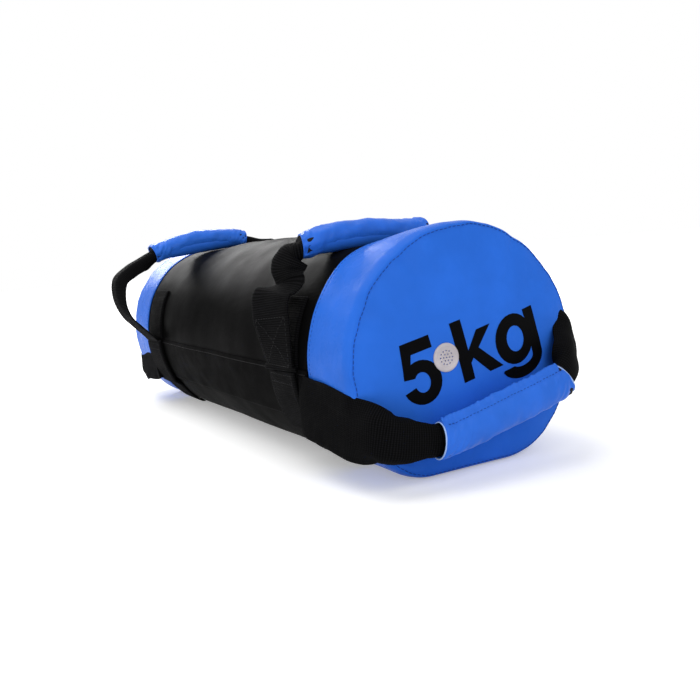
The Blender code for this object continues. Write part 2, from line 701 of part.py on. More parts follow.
def build_bag(frame):
    """The stuffed body and everything sewn to it."""
    add_object("barrel_shell", barrel_shell(), MATERIALS["black"], frame)
    add_object("inner_liner", liner_mesh(), MATERIALS["liner"], frame)
    add_object("filling", filling_mesh(), MATERIALS["filling"], frame)
    discs = {}
    for name, end in (("near", 1), ("far", -1)):
        add_object(f"{name}_side_band", side_band(end), MATERIALS["blue"], frame)
        discs[name] = add_object(f"{name}_end_disc", end_disc(end), MATERIALS["blue"], frame)
        for side in ("left", "right"):
            add_object(f"{name}_top_anchor_{side}", top_anchor(end, side), MATERIALS["webbing"], frame)
            add_object(f"{name}_top_tail_{side}", top_tail(end, side), MATERIALS["webbing"], frame)
            add_object(f"{name}_end_anchor_{side}", end_anchor(end, side), MATERIALS["webbing"], frame)
    for side in ("left", "right"):
        add_object(f"side_strip_{side}", side_strip(side), MATERIALS["black"], frame)
    add_vent(frame, discs["near"])


def build_handles(frame):
    """Four handles, each under an empty on its own joint's axis."""
    lengthwise = Vector((1, 0, 0))
    upright = Vector((0, 0, 1))
    tops = (("near", 1, NEAR_TOP_LOOP_SHARES, NEAR_GRIP_MIDDLE_DEG),
            ("far", -1, FAR_TOP_LOOP_SHARES, FAR_GRIP_MIDDLE_DEG))
    for name, end, rows, middle_deg in tops:
        slide = add_empty(f"{name}_top_slide", (end * TOP_HANDLE_X, 0, BAG_RADIUS), frame)
        loop = seat_grip(top_loop(end, rows), middle_deg)
        middle = polar(end * TOP_HANDLE_X, BAG_RADIUS + GRIP_THICKNESS / 2, middle_deg)
        add_handle(f"{name}_top", loop, lengthwise, middle, TOP_FOLD_RUN, False, slide)
    for name, end in (("near", 1), ("far", -1)):
        hinge = add_empty(f"{name}_end_hinge", (end * END_HINGE_X, 0, -END_HINGE_DROP), frame)
        middle = Vector((end * (HALF_LENGTH + FRONT_REACH), END_GRIP_SHIFT, -END_GRIP_DROP))
        add_handle(f"{name}_end", end_loop(end), upright, middle, END_FOLD_RUN, True, hinge)


clear_scene()
MATERIALS = make_materials()
bag_frame = add_empty("bag_axis", (0, 0, AXIS_HEIGHT))
bag_frame.rotation_euler = (ROLL, 0, 0)
build_bag(bag_frame)
build_handles(bag_frame)
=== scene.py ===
import math

import bmesh
import bpy
import numpy as np
from mathutils import Matrix, Vector, noise


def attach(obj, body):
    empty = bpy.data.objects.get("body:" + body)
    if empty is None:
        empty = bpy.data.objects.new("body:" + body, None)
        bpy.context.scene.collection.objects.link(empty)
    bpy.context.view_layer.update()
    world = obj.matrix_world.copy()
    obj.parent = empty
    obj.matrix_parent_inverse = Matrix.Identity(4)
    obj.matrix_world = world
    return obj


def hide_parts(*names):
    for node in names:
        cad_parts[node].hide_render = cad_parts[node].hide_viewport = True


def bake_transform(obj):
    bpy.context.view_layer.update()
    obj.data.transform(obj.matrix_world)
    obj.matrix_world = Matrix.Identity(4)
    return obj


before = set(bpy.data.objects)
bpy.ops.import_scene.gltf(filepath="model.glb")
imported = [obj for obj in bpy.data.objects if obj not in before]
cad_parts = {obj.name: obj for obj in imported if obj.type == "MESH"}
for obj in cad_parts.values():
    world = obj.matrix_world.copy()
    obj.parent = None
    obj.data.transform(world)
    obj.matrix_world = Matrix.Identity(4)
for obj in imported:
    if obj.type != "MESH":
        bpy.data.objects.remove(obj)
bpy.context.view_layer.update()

# Sizes of the stuffed body, in metres and degrees, as in the solids

BAG_RADIUS = 0.100
GIRTH = 2 * math.pi * BAG_RADIUS
HALF_LENGTH = 0.295
BAND_EDGE = 0.226
AXIS_HEIGHT = 0.0845
SAG_CORNER_LEFT = 0.046
SAG_CORNER_RIGHT = 0.064
ROLL = math.radians(12.5)
DISC_CROWN_POWER = 2.5
DISC_REACH = 0.0095
NEAR_HOLLOW_DEPTH = 0.015
FAR_HOLLOW_DEPTH = 0.0055
HOLLOW_X = 0.180
HOLLOW_HALF_LENGTH = 0.105
HOLLOW_MIDDLE_DEG = 75
HOLLOW_HALF_DEG = 44
VINYL = 0.0012
GAP = 0.0003

# The end seam: the band turns inwards to meet the disc

SEAM_X = 0.2925
SHOULDER_RUN = 0.012
SHOULDER_DROP = 0.0055
SHOULDER_SHARE = 0.86
RIM_DROP = 0.0030
GROOVE_DEPTH = 0.0018
SACK_END = 0.2900
SACK_LIFT = -0.0052
LINER_WALL = 0.0008
FILLING_INSET = 0.002
NECK_SHARE = 0.16

# Handles, strips and sewn ends

WEBBING_WIDTH = 0.048
WEBBING_THICKNESS = 0.0020
STRIP_WIDTH = 0.049
STRIP_THICKNESS = 0.0012
SIDE_STRIP_DEG = 182.5
FREE_STRAP_LIFT = 0.0041
STRAP_LIFT = FREE_STRAP_LIFT + WEBBING_THICKNESS / 2
SEWN_END_LIFT = 0.0029
GRIP_LENGTH = 0.114
GRIP_WIDTH = 0.029
GRIP_THICKNESS = 0.021
SLEEVE_WALL = 0.0010
GRIP_CLEARANCE = 0.001
TOP_HANDLE_X = 0.186
TOP_FOOT_DEG = 169.5
TOP_ANCHOR_DEG = (136, 168.1)
TOP_TAIL_DEG = (169.84, 222)
TAIL_BEND_DEG = 197
END_HINGE_BACK = 0.0605
END_HINGE_DROP = 0.008
END_GRIP_DROP = 0.0385
END_GRIP_SHIFT = 0.0005
FRONT_REACH = 0.0265
STRAP_IN_GRIP = 0.012
NEAR_GRIP_MIDDLE_DEG = 88
FAR_GRIP_MIDDLE_DEG = 97

# Rows of a top loop: bag angle and radius as a share of the bag's radius

NEAR_TOP_LOOP = (
    (165, 1.060), (159, 1.085), (153, 1.120), (148, 1.155), (143, 1.185), (139, 1.190),
    (136, 1.150), (133, 1.122), (131, 1.145), (128, 1.195), (124.5, 1.228), (121, 1.238),
    (118, 1.200), (115.5, 1.165),
    (110, 1.133), (104, 1.087), (98, 1.047), (92, 1.019), (86, 0.995), (80, 0.979), (74, 0.973),
    (68, 0.975), (62, 0.995), (56, 1.030), (50, 1.060), (42, 1.080), (34, 1.080), (26, 1.070),
    (18, 1.060),
)
FAR_TOP_LOOP = (
    (166, 1.100), (160, 1.235), (154, 1.400), (147.5, 1.510), (140.5, 1.560), (134, 1.490),
    (129, 1.420), (122, 1.343), (116, 1.271), (110, 1.221), (104, 1.187), (98, 1.151),
    (92, 1.119), (86, 1.097), (80, 1.081), (74, 1.067), (68, 1.061), (62, 1.070), (56, 1.090),
    (50, 1.120), (40, 1.120), (30, 1.100), (20, 1.075),
)

# Rows of an end loop: shares back from the seam, in front of it, across and down

END_LOOP = (
    (1.33, 0.00, -1.012, -0.06), (1.00, 0.00, -1.014, 0.00), (0.75, 0.00, -1.012, 0.03),
    (0.41, 0.00, -1.008, 0.14), (0.13, 0.00, -1.003, 0.24), (0.00, 0.46, -0.970, 0.32),
    (0.00, 0.80, -0.895, 0.46),
    (0.00, 0.92, -0.790, 0.64), (0.00, 0.98, -0.660, 0.82), (0.00, 1.00, -0.540, 0.96),
    (0.00, 1.00, -0.300, 1.00), (0.00, 1.00, 0.000, 1.00), (0.00, 1.00, 0.300, 1.00),
    (0.00, 1.00, 0.500, 0.97), (0.00, 0.98, 0.580, 0.88), (0.00, 0.89, 0.660, 0.77),
    (0.00, 0.66, 0.745, 0.65), (0.00, 0.33, 0.825, 0.50), (0.00, 0.08, 0.895, 0.38),
    (0.06, 0.00, 0.945, 0.28), (0.25, 0.00, 0.980, 0.18), (0.48, 0.00, 0.998, 0.10),
    (0.75, 0.00, 1.000, 0.03), (1.00, 0.00, 1.000, 0.00),
)

# Rows of an end loop's sewn end: place along the bag and height above its axis

SEWN_END_ROWS = ((0.162, -0.0046), (0.188, -0.0053), (0.206, -0.0060))

# How far the webbing is folded in half, by its distance outside the grip

NEAR_LEFT_FOLD = ((-0.012, 0.52), (0.0, 0.52), (0.008, 0.38), (0.018, 0.22), (0.026, 0.32),
                  (0.032, 0.32), (0.040, 0.10), (0.050, 0.0))
FAR_LEFT_FOLD = ((-0.012, 0.52), (0.0, 0.52), (0.015, 0.50), (0.035, 0.42), (0.060, 0.28),
                 (0.085, 0.10), (0.105, 0.0))
SHORT_FOLD = ((-0.012, 0.52), (0.0, 0.52), (0.010, 0.38), (0.018, 0.18), (0.028, 0.0))
FRONT_FOLD = ((-0.012, 0.52), (0.0, 0.52), (0.008, 0.50), (0.020, 0.46), (0.035, 0.41),
              (0.050, 0.32), (0.066, 0.12), (0.080, 0.02), (0.090, 0.0))

# By distance outside the grip: how much the webbing is rounded, as one over its radius in metres,
# and how far an end strap leans, in degrees

MOUTH_CURL = ((-0.012, 60.0), (0.0, 56.0), (0.010, 40.0), (0.022, 0.0))
FRONT_LEAN = ((0.0, 0.0), (0.02, 8.0), (0.04, 13.0), (0.10, 15.0))

# By bag angle: how far the near top handle's left strap is drawn along the bag, in metres, and how
# far it leans, in degrees

NEAR_LEFT_SHIFT = ((117, 0.0), (121, -0.005), (129, -0.008), (134, -0.005), (142, -0.002),
                   (150, 0.0))
NEAR_LEFT_TILT = ((118, 6), (122, 14), (129, 14), (132, 3), (134, 3), (138, 12), (150, 12), (160, 5),
                  (168, 0))

# Places along the bag, in metres from its middle, where an end strap stops lying on it and where it
# starts to lean, and the lengths over which that happens

LYING_TO_X = 0.224
LYING_FADE = 0.014
LEAN_FROM_X = 0.204
LEAN_FADE = 0.010

# Spans given to add_strap for a strap's bend, which it does not apply: an end strap's, from behind its
# hinge to in front of it, and a top strap's, from a share of the way between foot and mouth

BEND_BEHIND = 0.016
BEND_AHEAD = 0.034
TOP_BEND_FROM = 0.10

# The far end handle's left strap is drawn in, as in the photograph: from which share across, and
# what becomes of its reach in front, its reach across and its drop

FAR_LEFT_FROM = -0.6
FAR_LEFT_FRONT = 0.6
FAR_LEFT_ACROSS = 0.95
FAR_LEFT_DROP = 0.08

# Ribs, yarns and stitches

RIB_PITCH = 0.0018
RIB_HEIGHT = 0.00024
RIB_SHAPE = (0.0, 0.7, 1.0, 0.7)
BARREL_RIB_PITCH = 0.0011
YARN_PITCH = 0.0014
STITCH_PITCH = 0.0036
STITCH_LENGTH = 0.0028
STITCH_RADIUS = 0.00030
HEM_STITCH_INSET = 0.0036
SEWN_BOX = (0.004, 0.042)
SEWN_BOX_SHARE = 0.40
SEWN_BOX_STEPS = 14

# How fine the meshes are

AROUND = 300
ROUND_DEGREES = [360 * i / AROUND for i in range(AROUND + 1)]
MERGE = 0.00001
SMOOTH_DEG = 50
SECTION_HALF_STEPS = 12
SECTION_FINE = 6

# Colours

BLUE = (0.026, 0.150, 0.690)
BLUE_THREAD = (0.006, 0.045, 0.250)
PALE_BLUE = (0.36, 0.52, 0.86)
BLACK_VINYL = (0.0025, 0.0025, 0.0026)
BLACK_WEBBING = (0.0034, 0.0034, 0.0038)
BLACK_THREAD = (0.010, 0.010, 0.011)
INK = (0.0012, 0.0012, 0.0016)
PALE_GREY = (0.520, 0.480, 0.500)


# Materials

class Socket:
    """An output of a node, with arithmetic that adds Math nodes."""

    def __init__(self, graph, output):
        self.graph = graph
        self.output = output

    def math(self, operation, *values):
        return self.graph.add("ShaderNodeMath", {"operation": operation}, dict(enumerate(values)))

    def __add__(self, other):
        return self.math("ADD", self, other)

    def __mul__(self, other):
        return self.math("MULTIPLY", self, other)

    __radd__ = __add__
    __rmul__ = __mul__

    def wave(self, pitch):
        """A sine along this value, from 0 to 1."""
        return self.math("SINE", self * (2 * math.pi / pitch)) * 0.5 + 0.5

    def between(self, low, high):
        """A smooth step from 0 at low to 1 at high."""
        settings = {"interpolation_type": "SMOOTHSTEP"}
        values = {"Value": self, "From Min": low, "From Max": high}
        return self.graph.add("ShaderNodeMapRange", settings, values)


class Graph:
    """The nodes of one material or world, added by type, settings and values."""

    def __init__(self, owner):
        self.owner = owner
        owner.use_nodes = True
        self.tree = owner.node_tree
        self.shader = self.tree.nodes.get("Principled BSDF") or self.tree.nodes["Background"]

    def set_input(self, target, value):
        if isinstance(value, Socket):
            self.tree.links.new(value.output, target)
        else:
            target.default_value = value

    def add(self, kind, settings=None, values=None, output=0):
        node = self.tree.nodes.new(kind)
        for key, value in (settings or {}).items():
            setattr(node, key, value)
        for key, value in (values or {}).items():
            self.set_input(node.inputs[key], value)
        return Socket(self, node.outputs[output])

    def object_place(self):
        return self.add("ShaderNodeTexCoord", output="Object")

    def surface_place(self):
        """The piece's own UV, in metres."""
        return self.add("ShaderNodeUVMap", {"uv_map": "surface"})

    def one_of(self, place, axis):
        """A place's value along one axis."""
        return self.add("ShaderNodeSeparateXYZ", values={0: place}, output=axis)

    def scaled(self, place, scale):
        return self.add("ShaderNodeMapping", values={"Vector": place, "Scale": scale})

    def grain(self, place, scale, detail, roughness=0.5):
        values = {"Vector": place, "Scale": scale, "Detail": detail, "Roughness": roughness}
        return self.add("ShaderNodeTexNoise", values=values)

    def cells(self, place, scale):
        settings = {"feature": "DISTANCE_TO_EDGE"}
        return self.add("ShaderNodeTexVoronoi", settings, {"Vector": place, "Scale": scale})

    def mix(self, factor, first, second):
        values = {0: factor, 6: first, 7: second}
        return self.add("ShaderNodeMix", {"data_type": "RGBA"}, values, output=2)

    def bump(self, height, strength, distance, normal=None):
        values = {"Height": height, "Strength": strength, "Distance": distance}
        if normal is not None:
            values["Normal"] = normal
        return self.add("ShaderNodeBump", values=values)

    def seen(self):
        """1 for what the camera sees, straight, mirrored or through glass, and 0 for light."""
        path = [self.add("ShaderNodeLightPath", output=name)
                for name in ("Is Camera Ray", "Is Glossy Ray", "Is Transmission Ray")]
        return path[0].math("MAXIMUM", path[0], path[1].math("MAXIMUM", path[1], path[2]))

    def finish(self, **inputs):
        for key, value in inputs.items():
            self.set_input(self.shader.inputs[key.replace("_", " ")], value)
        return self.owner


def shade(rgb, share):
    """A colour times a share, as a node takes it."""
    return (*[min(channel * share, 1) for channel in rgb], 1)


def vinyl_material(name, rgb, roughness, grain_bump, specular):
    """Smooth coated cloth: a fine pebble grain, slight unevenness and a dull bloom in places."""
    graph = Graph(bpy.data.materials.new(name))
    place = graph.object_place()
    pebble = graph.cells(place, 1500).between(0.0, 0.35)
    uneven = graph.grain(place, 26, 3)
    bloom = graph.grain(place, 60, 4, 0.6)
    grain = pebble * 0.4 + graph.grain(place, 700, 2) * 0.6
    normal = graph.bump(grain, grain_bump, 0.0002)
    normal = graph.bump(uneven, 0.10, 0.004, normal)
    base = graph.mix(uneven.between(0.30, 0.72), shade(rgb, 0.93), shade(rgb, 1.05))
    rough = bloom.between(0.35, 0.75) * 0.10 + (roughness - 0.05)
    return graph.finish(Base_Color=base, Roughness=rough, Normal=normal,
                        Specular_IOR_Level=specular)


def sleeve_material():
    """The handles' softer vinyl, with faint creases across the grip."""
    graph = Graph(bpy.data.materials.new("sleeve_vinyl"))
    place = graph.surface_place()
    pebble = graph.cells(graph.object_place(), 1500).between(0.0, 0.35)
    creases = graph.grain(graph.scaled(place, (40, 150, 1)), 1.0, 3, 0.55)
    uneven = graph.grain(graph.object_place(), 40, 3)
    normal = graph.bump(pebble, 0.10, 0.0002)
    normal = graph.bump(creases, 0.16, 0.0012, normal)
    base = graph.mix(uneven.between(0.30, 0.72), shade(BLUE, 0.92), shade(BLUE, 1.05))
    rough = creases.between(0.3, 0.7) * 0.10 + 0.38
    return graph.finish(Base_Color=base, Roughness=rough, Normal=normal, Specular_IOR_Level=0.12)


def ribbed_material():
    """The barrel's black cloth: coated, with fine ribs that run along the bag."""
    graph = Graph(bpy.data.materials.new("barrel_cloth"))
    place = graph.surface_place()
    ribs = graph.one_of(place, "X").wave(BARREL_RIB_PITCH)
    threads = graph.grain(graph.scaled(place, (900, 60, 1)), 1.0, 2)
    uneven = graph.grain(graph.object_place(), 18, 4, 0.6)
    normal = graph.bump(ribs * 0.8 + threads * 0.5, 0.30, 0.00022)
    normal = graph.bump(uneven, 0.12, 0.004, normal)
    base = graph.mix(uneven.between(0.3, 0.75), shade(BLACK_VINYL, 0.8), shade(BLACK_VINYL, 1.3))
    rough = uneven.between(0.3, 0.7) * 0.08 + 0.36
    return graph.finish(Base_Color=base, Roughness=rough, Normal=normal, Specular_IOR_Level=0.003)


def webbing_material():
    """Woven webbing: warp yarns along it, in columns that the ribs cross, with painted light on the
    crests of ribs and yarns and painted shade in their hollows.
    """
    graph = Graph(bpy.data.materials.new("webbing_weave"))
    place = graph.surface_place()
    yarns = graph.one_of(place, "X").wave(YARN_PITCH)
    rib = graph.one_of(place, "Y").wave(RIB_PITCH)
    fuzz = graph.grain(graph.scaled(place, (1500, 2600, 1)), 1.0, 3, 0.6)
    wear = graph.grain(graph.object_place(), 60, 4, 0.6)
    height = yarns * 0.55 + rib * 0.35 + fuzz * 0.30
    normal = graph.bump(height, 0.75, 0.0004)
    # Painted light and shade: rib and yarn crests lighter, hollows darker; the fuzz adds a random tone.
    painted_rib_light_and_fuzz = rib * 0.55 + yarns * 0.25 + fuzz * 0.35
    base = graph.mix(painted_rib_light_and_fuzz.between(0.35, 1.0), shade(BLACK_WEBBING, 0.35), shade(BLACK_WEBBING, 2.3))
    rough = wear.between(0.3, 0.7) * 0.10 + 0.78
    return graph.finish(Base_Color=base, Roughness=rough, Normal=normal, Specular_IOR_Level=0.03)


def thread_material(name, rgb):
    """Twisted sewing thread."""
    graph = Graph(bpy.data.materials.new(name))
    twist = graph.grain(graph.object_place(), 2600, 2)
    normal = graph.bump(twist, 0.6, 0.0002)
    base = graph.mix(twist.between(0.3, 0.7), shade(rgb, 0.7), shade(rgb, 1.3))
    return graph.finish(Base_Color=base, Roughness=0.70, Normal=normal, Specular_IOR_Level=0.2)


def plain_material(name, rgb, roughness, scale, strength, specular=0.3):
    """A moulded or cut surface with a fine, even grain."""
    graph = Graph(bpy.data.materials.new(name))
    place = graph.object_place()
    grain = graph.grain(place, scale, 3, 0.55)
    uneven = graph.grain(place, scale / 20, 2)
    normal = graph.bump(grain, strength, 0.0003)
    base = graph.mix(uneven.between(0.3, 0.7), shade(rgb, 0.90), shade(rgb, 1.08))
    rough = grain.between(0.3, 0.7) * 0.08 + (roughness - 0.04)
    return graph.finish(Base_Color=base, Roughness=rough, Normal=normal,
                        Specular_IOR_Level=specular)


MATERIALS = {
    "cap": vinyl_material("cap_vinyl", BLUE, 0.30, 0.10, 0.02),
    "sleeve": sleeve_material(),
    "barrel": ribbed_material(),
    "strip": vinyl_material("strip_vinyl", BLACK_VINYL, 0.55, 0.15, 0.004),
    "webbing": webbing_material(),
    "black_thread": thread_material("black_thread", BLACK_THREAD),
    "blue_thread": thread_material("blue_thread", BLUE_THREAD),
    "edge": plain_material("cut_vinyl_edge", PALE_BLUE, 0.55, 900, 0.3),
    "ink": plain_material("printing_ink", INK, 0.60, 900, 0.1, 0.03),
    "vent": plain_material("vent_moulding", PALE_GREY, 0.45, 1200, 0.15),
    "foam": plain_material("grip_padding", (0.016, 0.016, 0.018), 0.92, 1400, 0.8, 0.1),
    "liner": plain_material("liner_weave", (0.60, 0.60, 0.58), 0.90, 900, 0.6),
    "filling": plain_material("packed_scrap", (0.33, 0.27, 0.20), 0.95, 300, 0.9),
}


# The stuffed bag's surface

def section_radius(world_deg):
    """Distance from the axis to the sagged outline: a round top, a flat bottom, two round corners."""
    angle = math.radians(world_deg)
    direction = Vector((math.cos(angle), math.sin(angle)))
    corner_radius = SAG_CORNER_RIGHT if direction.x > 0 else SAG_CORNER_LEFT
    corner_down = AXIS_HEIGHT - corner_radius
    corner_across = math.sqrt((BAG_RADIUS - corner_radius) ** 2 - corner_down ** 2)
    if direction.y >= -corner_down / (BAG_RADIUS - corner_radius):
        return BAG_RADIUS
    flat = AXIS_HEIGHT / -direction.y
    if abs(flat * direction.x) <= corner_across:
        return flat
    corner = Vector((math.copysign(corner_across, direction.x), -corner_down))
    along = corner.dot(direction)
    return along + math.sqrt(corner_radius ** 2 - corner.length_squared + along ** 2)


def hollow_at(bag_deg, x):
    """Depth of the hollow under a top handle."""
    depth = NEAR_HOLLOW_DEPTH if x > 0 else FAR_HOLLOW_DEPTH
    along = (abs(x) - HOLLOW_X) / HOLLOW_HALF_LENGTH
    round_share = ((bag_deg + 180) % 360 - 180 - HOLLOW_MIDDLE_DEG) / HOLLOW_HALF_DEG
    if abs(along) >= 1 or abs(round_share) >= 1:
        return 0
    return depth * (math.cos(along * math.pi / 2) * math.cos(round_share * math.pi / 2)) ** 2


def on_floor(bag_deg):
    """1 where the bag lies on the floor, 0 well away from it."""
    away = abs((math.degrees(ROLL) + bag_deg - 270 + 180) % 360 - 180)
    return 1 - min(max((away - 22) / 26, 0), 1)


def skin(bag_deg, x):
    """Distance from the bag's axis to its outer surface."""
    return section_radius(bag_deg + math.degrees(ROLL)) - hollow_at(bag_deg, x)


def bag_point(x, radius, bag_deg):
    turn = math.radians(bag_deg) + ROLL
    return Vector((x, radius * math.cos(turn), AXIS_HEIGHT + radius * math.sin(turn)))


def bag_vector(x, y, z):
    """A direction given in the rolled bag's own frame."""
    return Matrix.Rotation(ROLL, 3, "X") @ Vector((x, y, z))


def in_bag(x, y, z):
    """A place given in the rolled bag's own frame."""
    return bag_vector(x, y, z) + Vector((0, 0, AXIS_HEIGHT))


def swell(x, bag_deg, spacing, seed):
    """Smooth unevenness over the bag, about -1 to 1."""
    turn = math.radians(bag_deg)
    reach = BAG_RADIUS / spacing
    return noise.noise(Vector((x / spacing + seed, reach * math.cos(turn), reach * math.sin(turn))))


def pucker(bag_deg, end):
    """How the cloth gathers round an end seam, about -1 to 1."""
    return 0.9 * swell(end * 3, bag_deg, 0.022, 7) + 0.5 * swell(end * 3, bag_deg, 0.009, 3)


def relief(bag_deg, x):
    """Small unevenness of the stuffed skin, none where it lies on the floor."""
    bulge = 0.0011 * swell(x, bag_deg, 0.075, 0) + 0.0004 * swell(x, bag_deg, 0.028, 5)
    gathers = 0.0016 * pucker(bag_deg, math.copysign(1, x)) * math.exp(-abs(SEAM_X - abs(x)) / 0.013)
    return (bulge + gathers) * (1 - on_floor(bag_deg))


def rest_radius(bag_deg, x):
    return skin(bag_deg, x) + relief(bag_deg, x)


# Meshes

def surface(across, along, place, size):
    """A grid whose coordinates, from 0 to 1, are sent to their places; its UV is in metres."""
    mesh = bmesh.new()
    layer = mesh.loops.layers.uv.new("surface")
    bmesh.ops.create_grid(mesh, x_segments=across, y_segments=along, size=0.5)
    for face in mesh.faces:
        for loop in face.loops:
            spot = loop.vert.co
            loop[layer].uv = ((spot.x + 0.5) * size[0], (spot.y + 0.5) * size[1])
    for vertex in mesh.verts:
        vertex.co = place(vertex.co.x + 0.5, vertex.co.y + 0.5)
    bmesh.ops.remove_doubles(mesh, verts=mesh.verts, dist=MERGE)
    return mesh


def rows_surface(rows, size):
    """A grid through ready rows of points, each of the same count."""
    across = len(rows[0]) - 1
    along = len(rows) - 1
    return surface(across, along, lambda u, v: rows[round(v * along)][round(u * across)], size)


def close_ends(mesh):
    edges = [edge for edge in mesh.edges if edge.is_boundary]
    bmesh.ops.holes_fill(mesh, edges=edges, sides=0)


def add_piece(name, mesh, material, body, replaces=()):
    """Puts a finished mesh into the scene, on its body, with its finish."""
    bmesh.ops.recalc_face_normals(mesh, faces=mesh.faces)
    data = bpy.data.meshes.new(name)
    mesh.to_mesh(data)
    mesh.free()
    data.materials.append(MATERIALS[material])
    data.shade_smooth()
    data.set_sharp_from_angle(angle=math.radians(SMOOTH_DEG))
    piece = bpy.data.objects.new(name, data)
    bpy.context.scene.collection.objects.link(piece)
    if body:
        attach(piece, body)
    if replaces:
        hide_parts(*replaces)
    return piece


def turned_rows(profile):
    """Rows right round the bag for a profile of (place along the bag, lift from the skin)."""
    return [[bag_point(x, rest_radius(a, x) + lift, a) for a in ROUND_DEGREES]
            for x, lift in profile]


# Barrel

def barrel_lift(x):
    """The barrel sinks a little towards the bands that overlap it."""
    inside = BAND_EDGE - abs(x)
    return -0.0014 * math.exp(-max(inside, 0) / 0.012)


def add_barrel():
    reach = BAND_EDGE + 0.008
    steps = 190
    xs = [-reach + 2 * reach * i / steps for i in range(steps + 1)]
    rows = turned_rows([(x, barrel_lift(x)) for x in xs])
    mesh = rows_surface(rows, (GIRTH, 2 * reach))
    close_ends(mesh)
    piece = add_piece("barrel_cloth_tube", mesh, "barrel", "bag", ("barrel_shell",))


def end_row(x, share, lift):
    """A row across an end, at a share of the radius there."""
    return [bag_point(x, (skin(a, x) + lift) * share, a) for a in ROUND_DEGREES]


def sack_rows(lift, end):
    """Rows along a packed sack whose ends are pulled in: from its far end to its near one."""
    reach = end - 0.007
    pulled_in = ((0.0, 0.80), (0.002, 0.90), (0.004, 0.96))
    rows = [end_row(-end + back, share, lift) for back, share in pulled_in]
    rows += [end_row(-reach + 2 * reach * i / 60, 1, lift) for i in range(61)]
    return rows + [end_row(end - back, share, lift) for back, share in pulled_in[::-1]]


def add_liner_and_filling():
    """The sack with its tied neck at the far end, and what is packed in it."""
    rows = [end_row(-SACK_END, NECK_SHARE, 0)] + sack_rows(SACK_LIFT, SACK_END)
    inner_end = SACK_END - LINER_WALL
    rows += [end_row(SACK_END, 0, 0), end_row(inner_end, 0, 0)]
    rows += sack_rows(SACK_LIFT - LINER_WALL, inner_end)[::-1]
    rows.append(end_row(-inner_end, NECK_SHARE, 0))
    mesh = rows_surface(rows + rows[:1], (GIRTH, 4 * SACK_END))
    add_piece("liner_sack", mesh, "liner", "bag", ("inner_liner",))
    end = SACK_END - FILLING_INSET
    rows = [end_row(-end, 0, 0)] + sack_rows(SACK_LIFT - FILLING_INSET, end) + [end_row(end, 0, 0)]
    mesh = rows_surface(rows, (GIRTH, 2 * SACK_END))
    piece = add_piece("packed_scrap", mesh, "filling", "bag", ("filling",))


# Blue ends

def shoulder(x):
    """How far the band has turned inwards near its end seam, less than 0."""
    share = (abs(x) - SEAM_X + SHOULDER_RUN) / SHOULDER_RUN
    share = min(max(share, 0), 1) * SHOULDER_SHARE
    return -SHOULDER_DROP * (1 - math.sqrt(1 - share * share))


def band_profile():
    """From the seam's groove over the shoulder to the hemmed back edge, and back inside."""
    seam = SEAM_X
    low = shoulder(seam)
    rows = [(seam - 0.0001, low - GROOVE_DEPTH), (seam - 0.0001, low - GROOVE_DEPTH * 0.6),
            (seam - 0.0002, low - GROOVE_DEPTH * 0.3), (seam - 0.0005, low - 0.0002)]
    start = seam - 0.0010
    rows += [(start - 0.00085 * i, shoulder(start - 0.00085 * i)) for i in range(15)]
    start -= 0.00085 * 15
    steps = 28
    rows += [(start + (BAND_EDGE + 0.0010 - start) * i / steps, 0.0) for i in range(steps + 1)]
    edge = BAND_EDGE
    rows += [(edge + 0.0003, -0.0001), (edge, -0.0005), (edge, -0.0010), (edge + 0.0004, -0.0014)]
    rows += [(edge + 0.004, -0.0022), ((edge + seam) / 2, -0.0036), (seam - 0.0030, low - 0.0042),
             (seam - 0.0004, low - 0.0036)]
    return rows + rows[:1]


def hem_press(x):
    """The row of stitches draws the band's back edge down."""
    return -0.0004 * math.exp(-((abs(x) - BAND_EDGE - HEM_STITCH_INSET) / 0.0009) ** 2)


def add_band(name, end):
    profile = [(end * x, lift + (hem_press(x) if lift == 0 else 0)) for x, lift in band_profile()]
    mesh = rows_surface(turned_rows(profile), (GIRTH, 0.09))
    piece = add_piece(f"{name}_band_cloth", mesh, "cap", "bag", (f"{name}_side_band",))


def disc_height(share):
    """How far the disc stands beyond the seam at a share of its radius."""
    crown = HALF_LENGTH + DISC_REACH - SEAM_X - 0.0005
    rolled = 0.0012 * math.exp(-(1 - share) * BAG_RADIUS / 0.0035)
    return 0.0005 + crown * (1 - share ** DISC_CROWN_POWER) - rolled


TUCK = ((-0.094, -0.0440), (-0.064, -0.0700))


def tuck(bag_deg, share):
    """The small fold at the near disc's foot, where the cloth is taken in."""
    turn = math.radians(bag_deg)
    place = Vector((share * BAG_RADIUS * math.cos(turn), share * BAG_RADIUS * math.sin(turn)))
    start, stop = Vector(TUCK[0]), Vector(TUCK[1])
    line = (stop - start).normalized()
    along = (place - start).dot(line) / (stop - start).length
    off = (place - start).dot(Vector((-line.y, line.x)))
    fade = math.exp(-((along - 0.5) / 0.42) ** 4)
    ridge = 0.0014 * math.exp(-(off / 0.0022) ** 2)
    groove = 0.0011 * math.exp(-((off - 0.0042) / 0.0018) ** 2)
    return fade * (ridge - groove)


def disc_relief(bag_deg, share, end):
    """Gathers that fade inwards from the seam, and the soft lie of the stuffing."""
    inward = (1 - share) * BAG_RADIUS
    gathers = 0.0016 * pucker(bag_deg, end) * math.exp(-inward / 0.012)
    turn = math.radians(bag_deg)
    spot = Vector((share * math.cos(turn), share * math.sin(turn), end * 2))
    folds = tuck(bag_deg, share) if end > 0 else 0
    return gathers + 0.0009 * noise.noise(spot * 1.6) + 0.0004 * noise.noise(spot * 4.5) + folds


def disc_point(bag_deg, share, end, lift=0.0):
    """A place on a disc's face, in front of its seam."""
    height = disc_height(share) + disc_relief(bag_deg, share, end) * min((1 - share) * 30, 1) + lift
    radius = (rest_radius(bag_deg, end * SEAM_X) - RIM_DROP) * share
    return bag_point(end * (SEAM_X + height), radius, bag_deg)


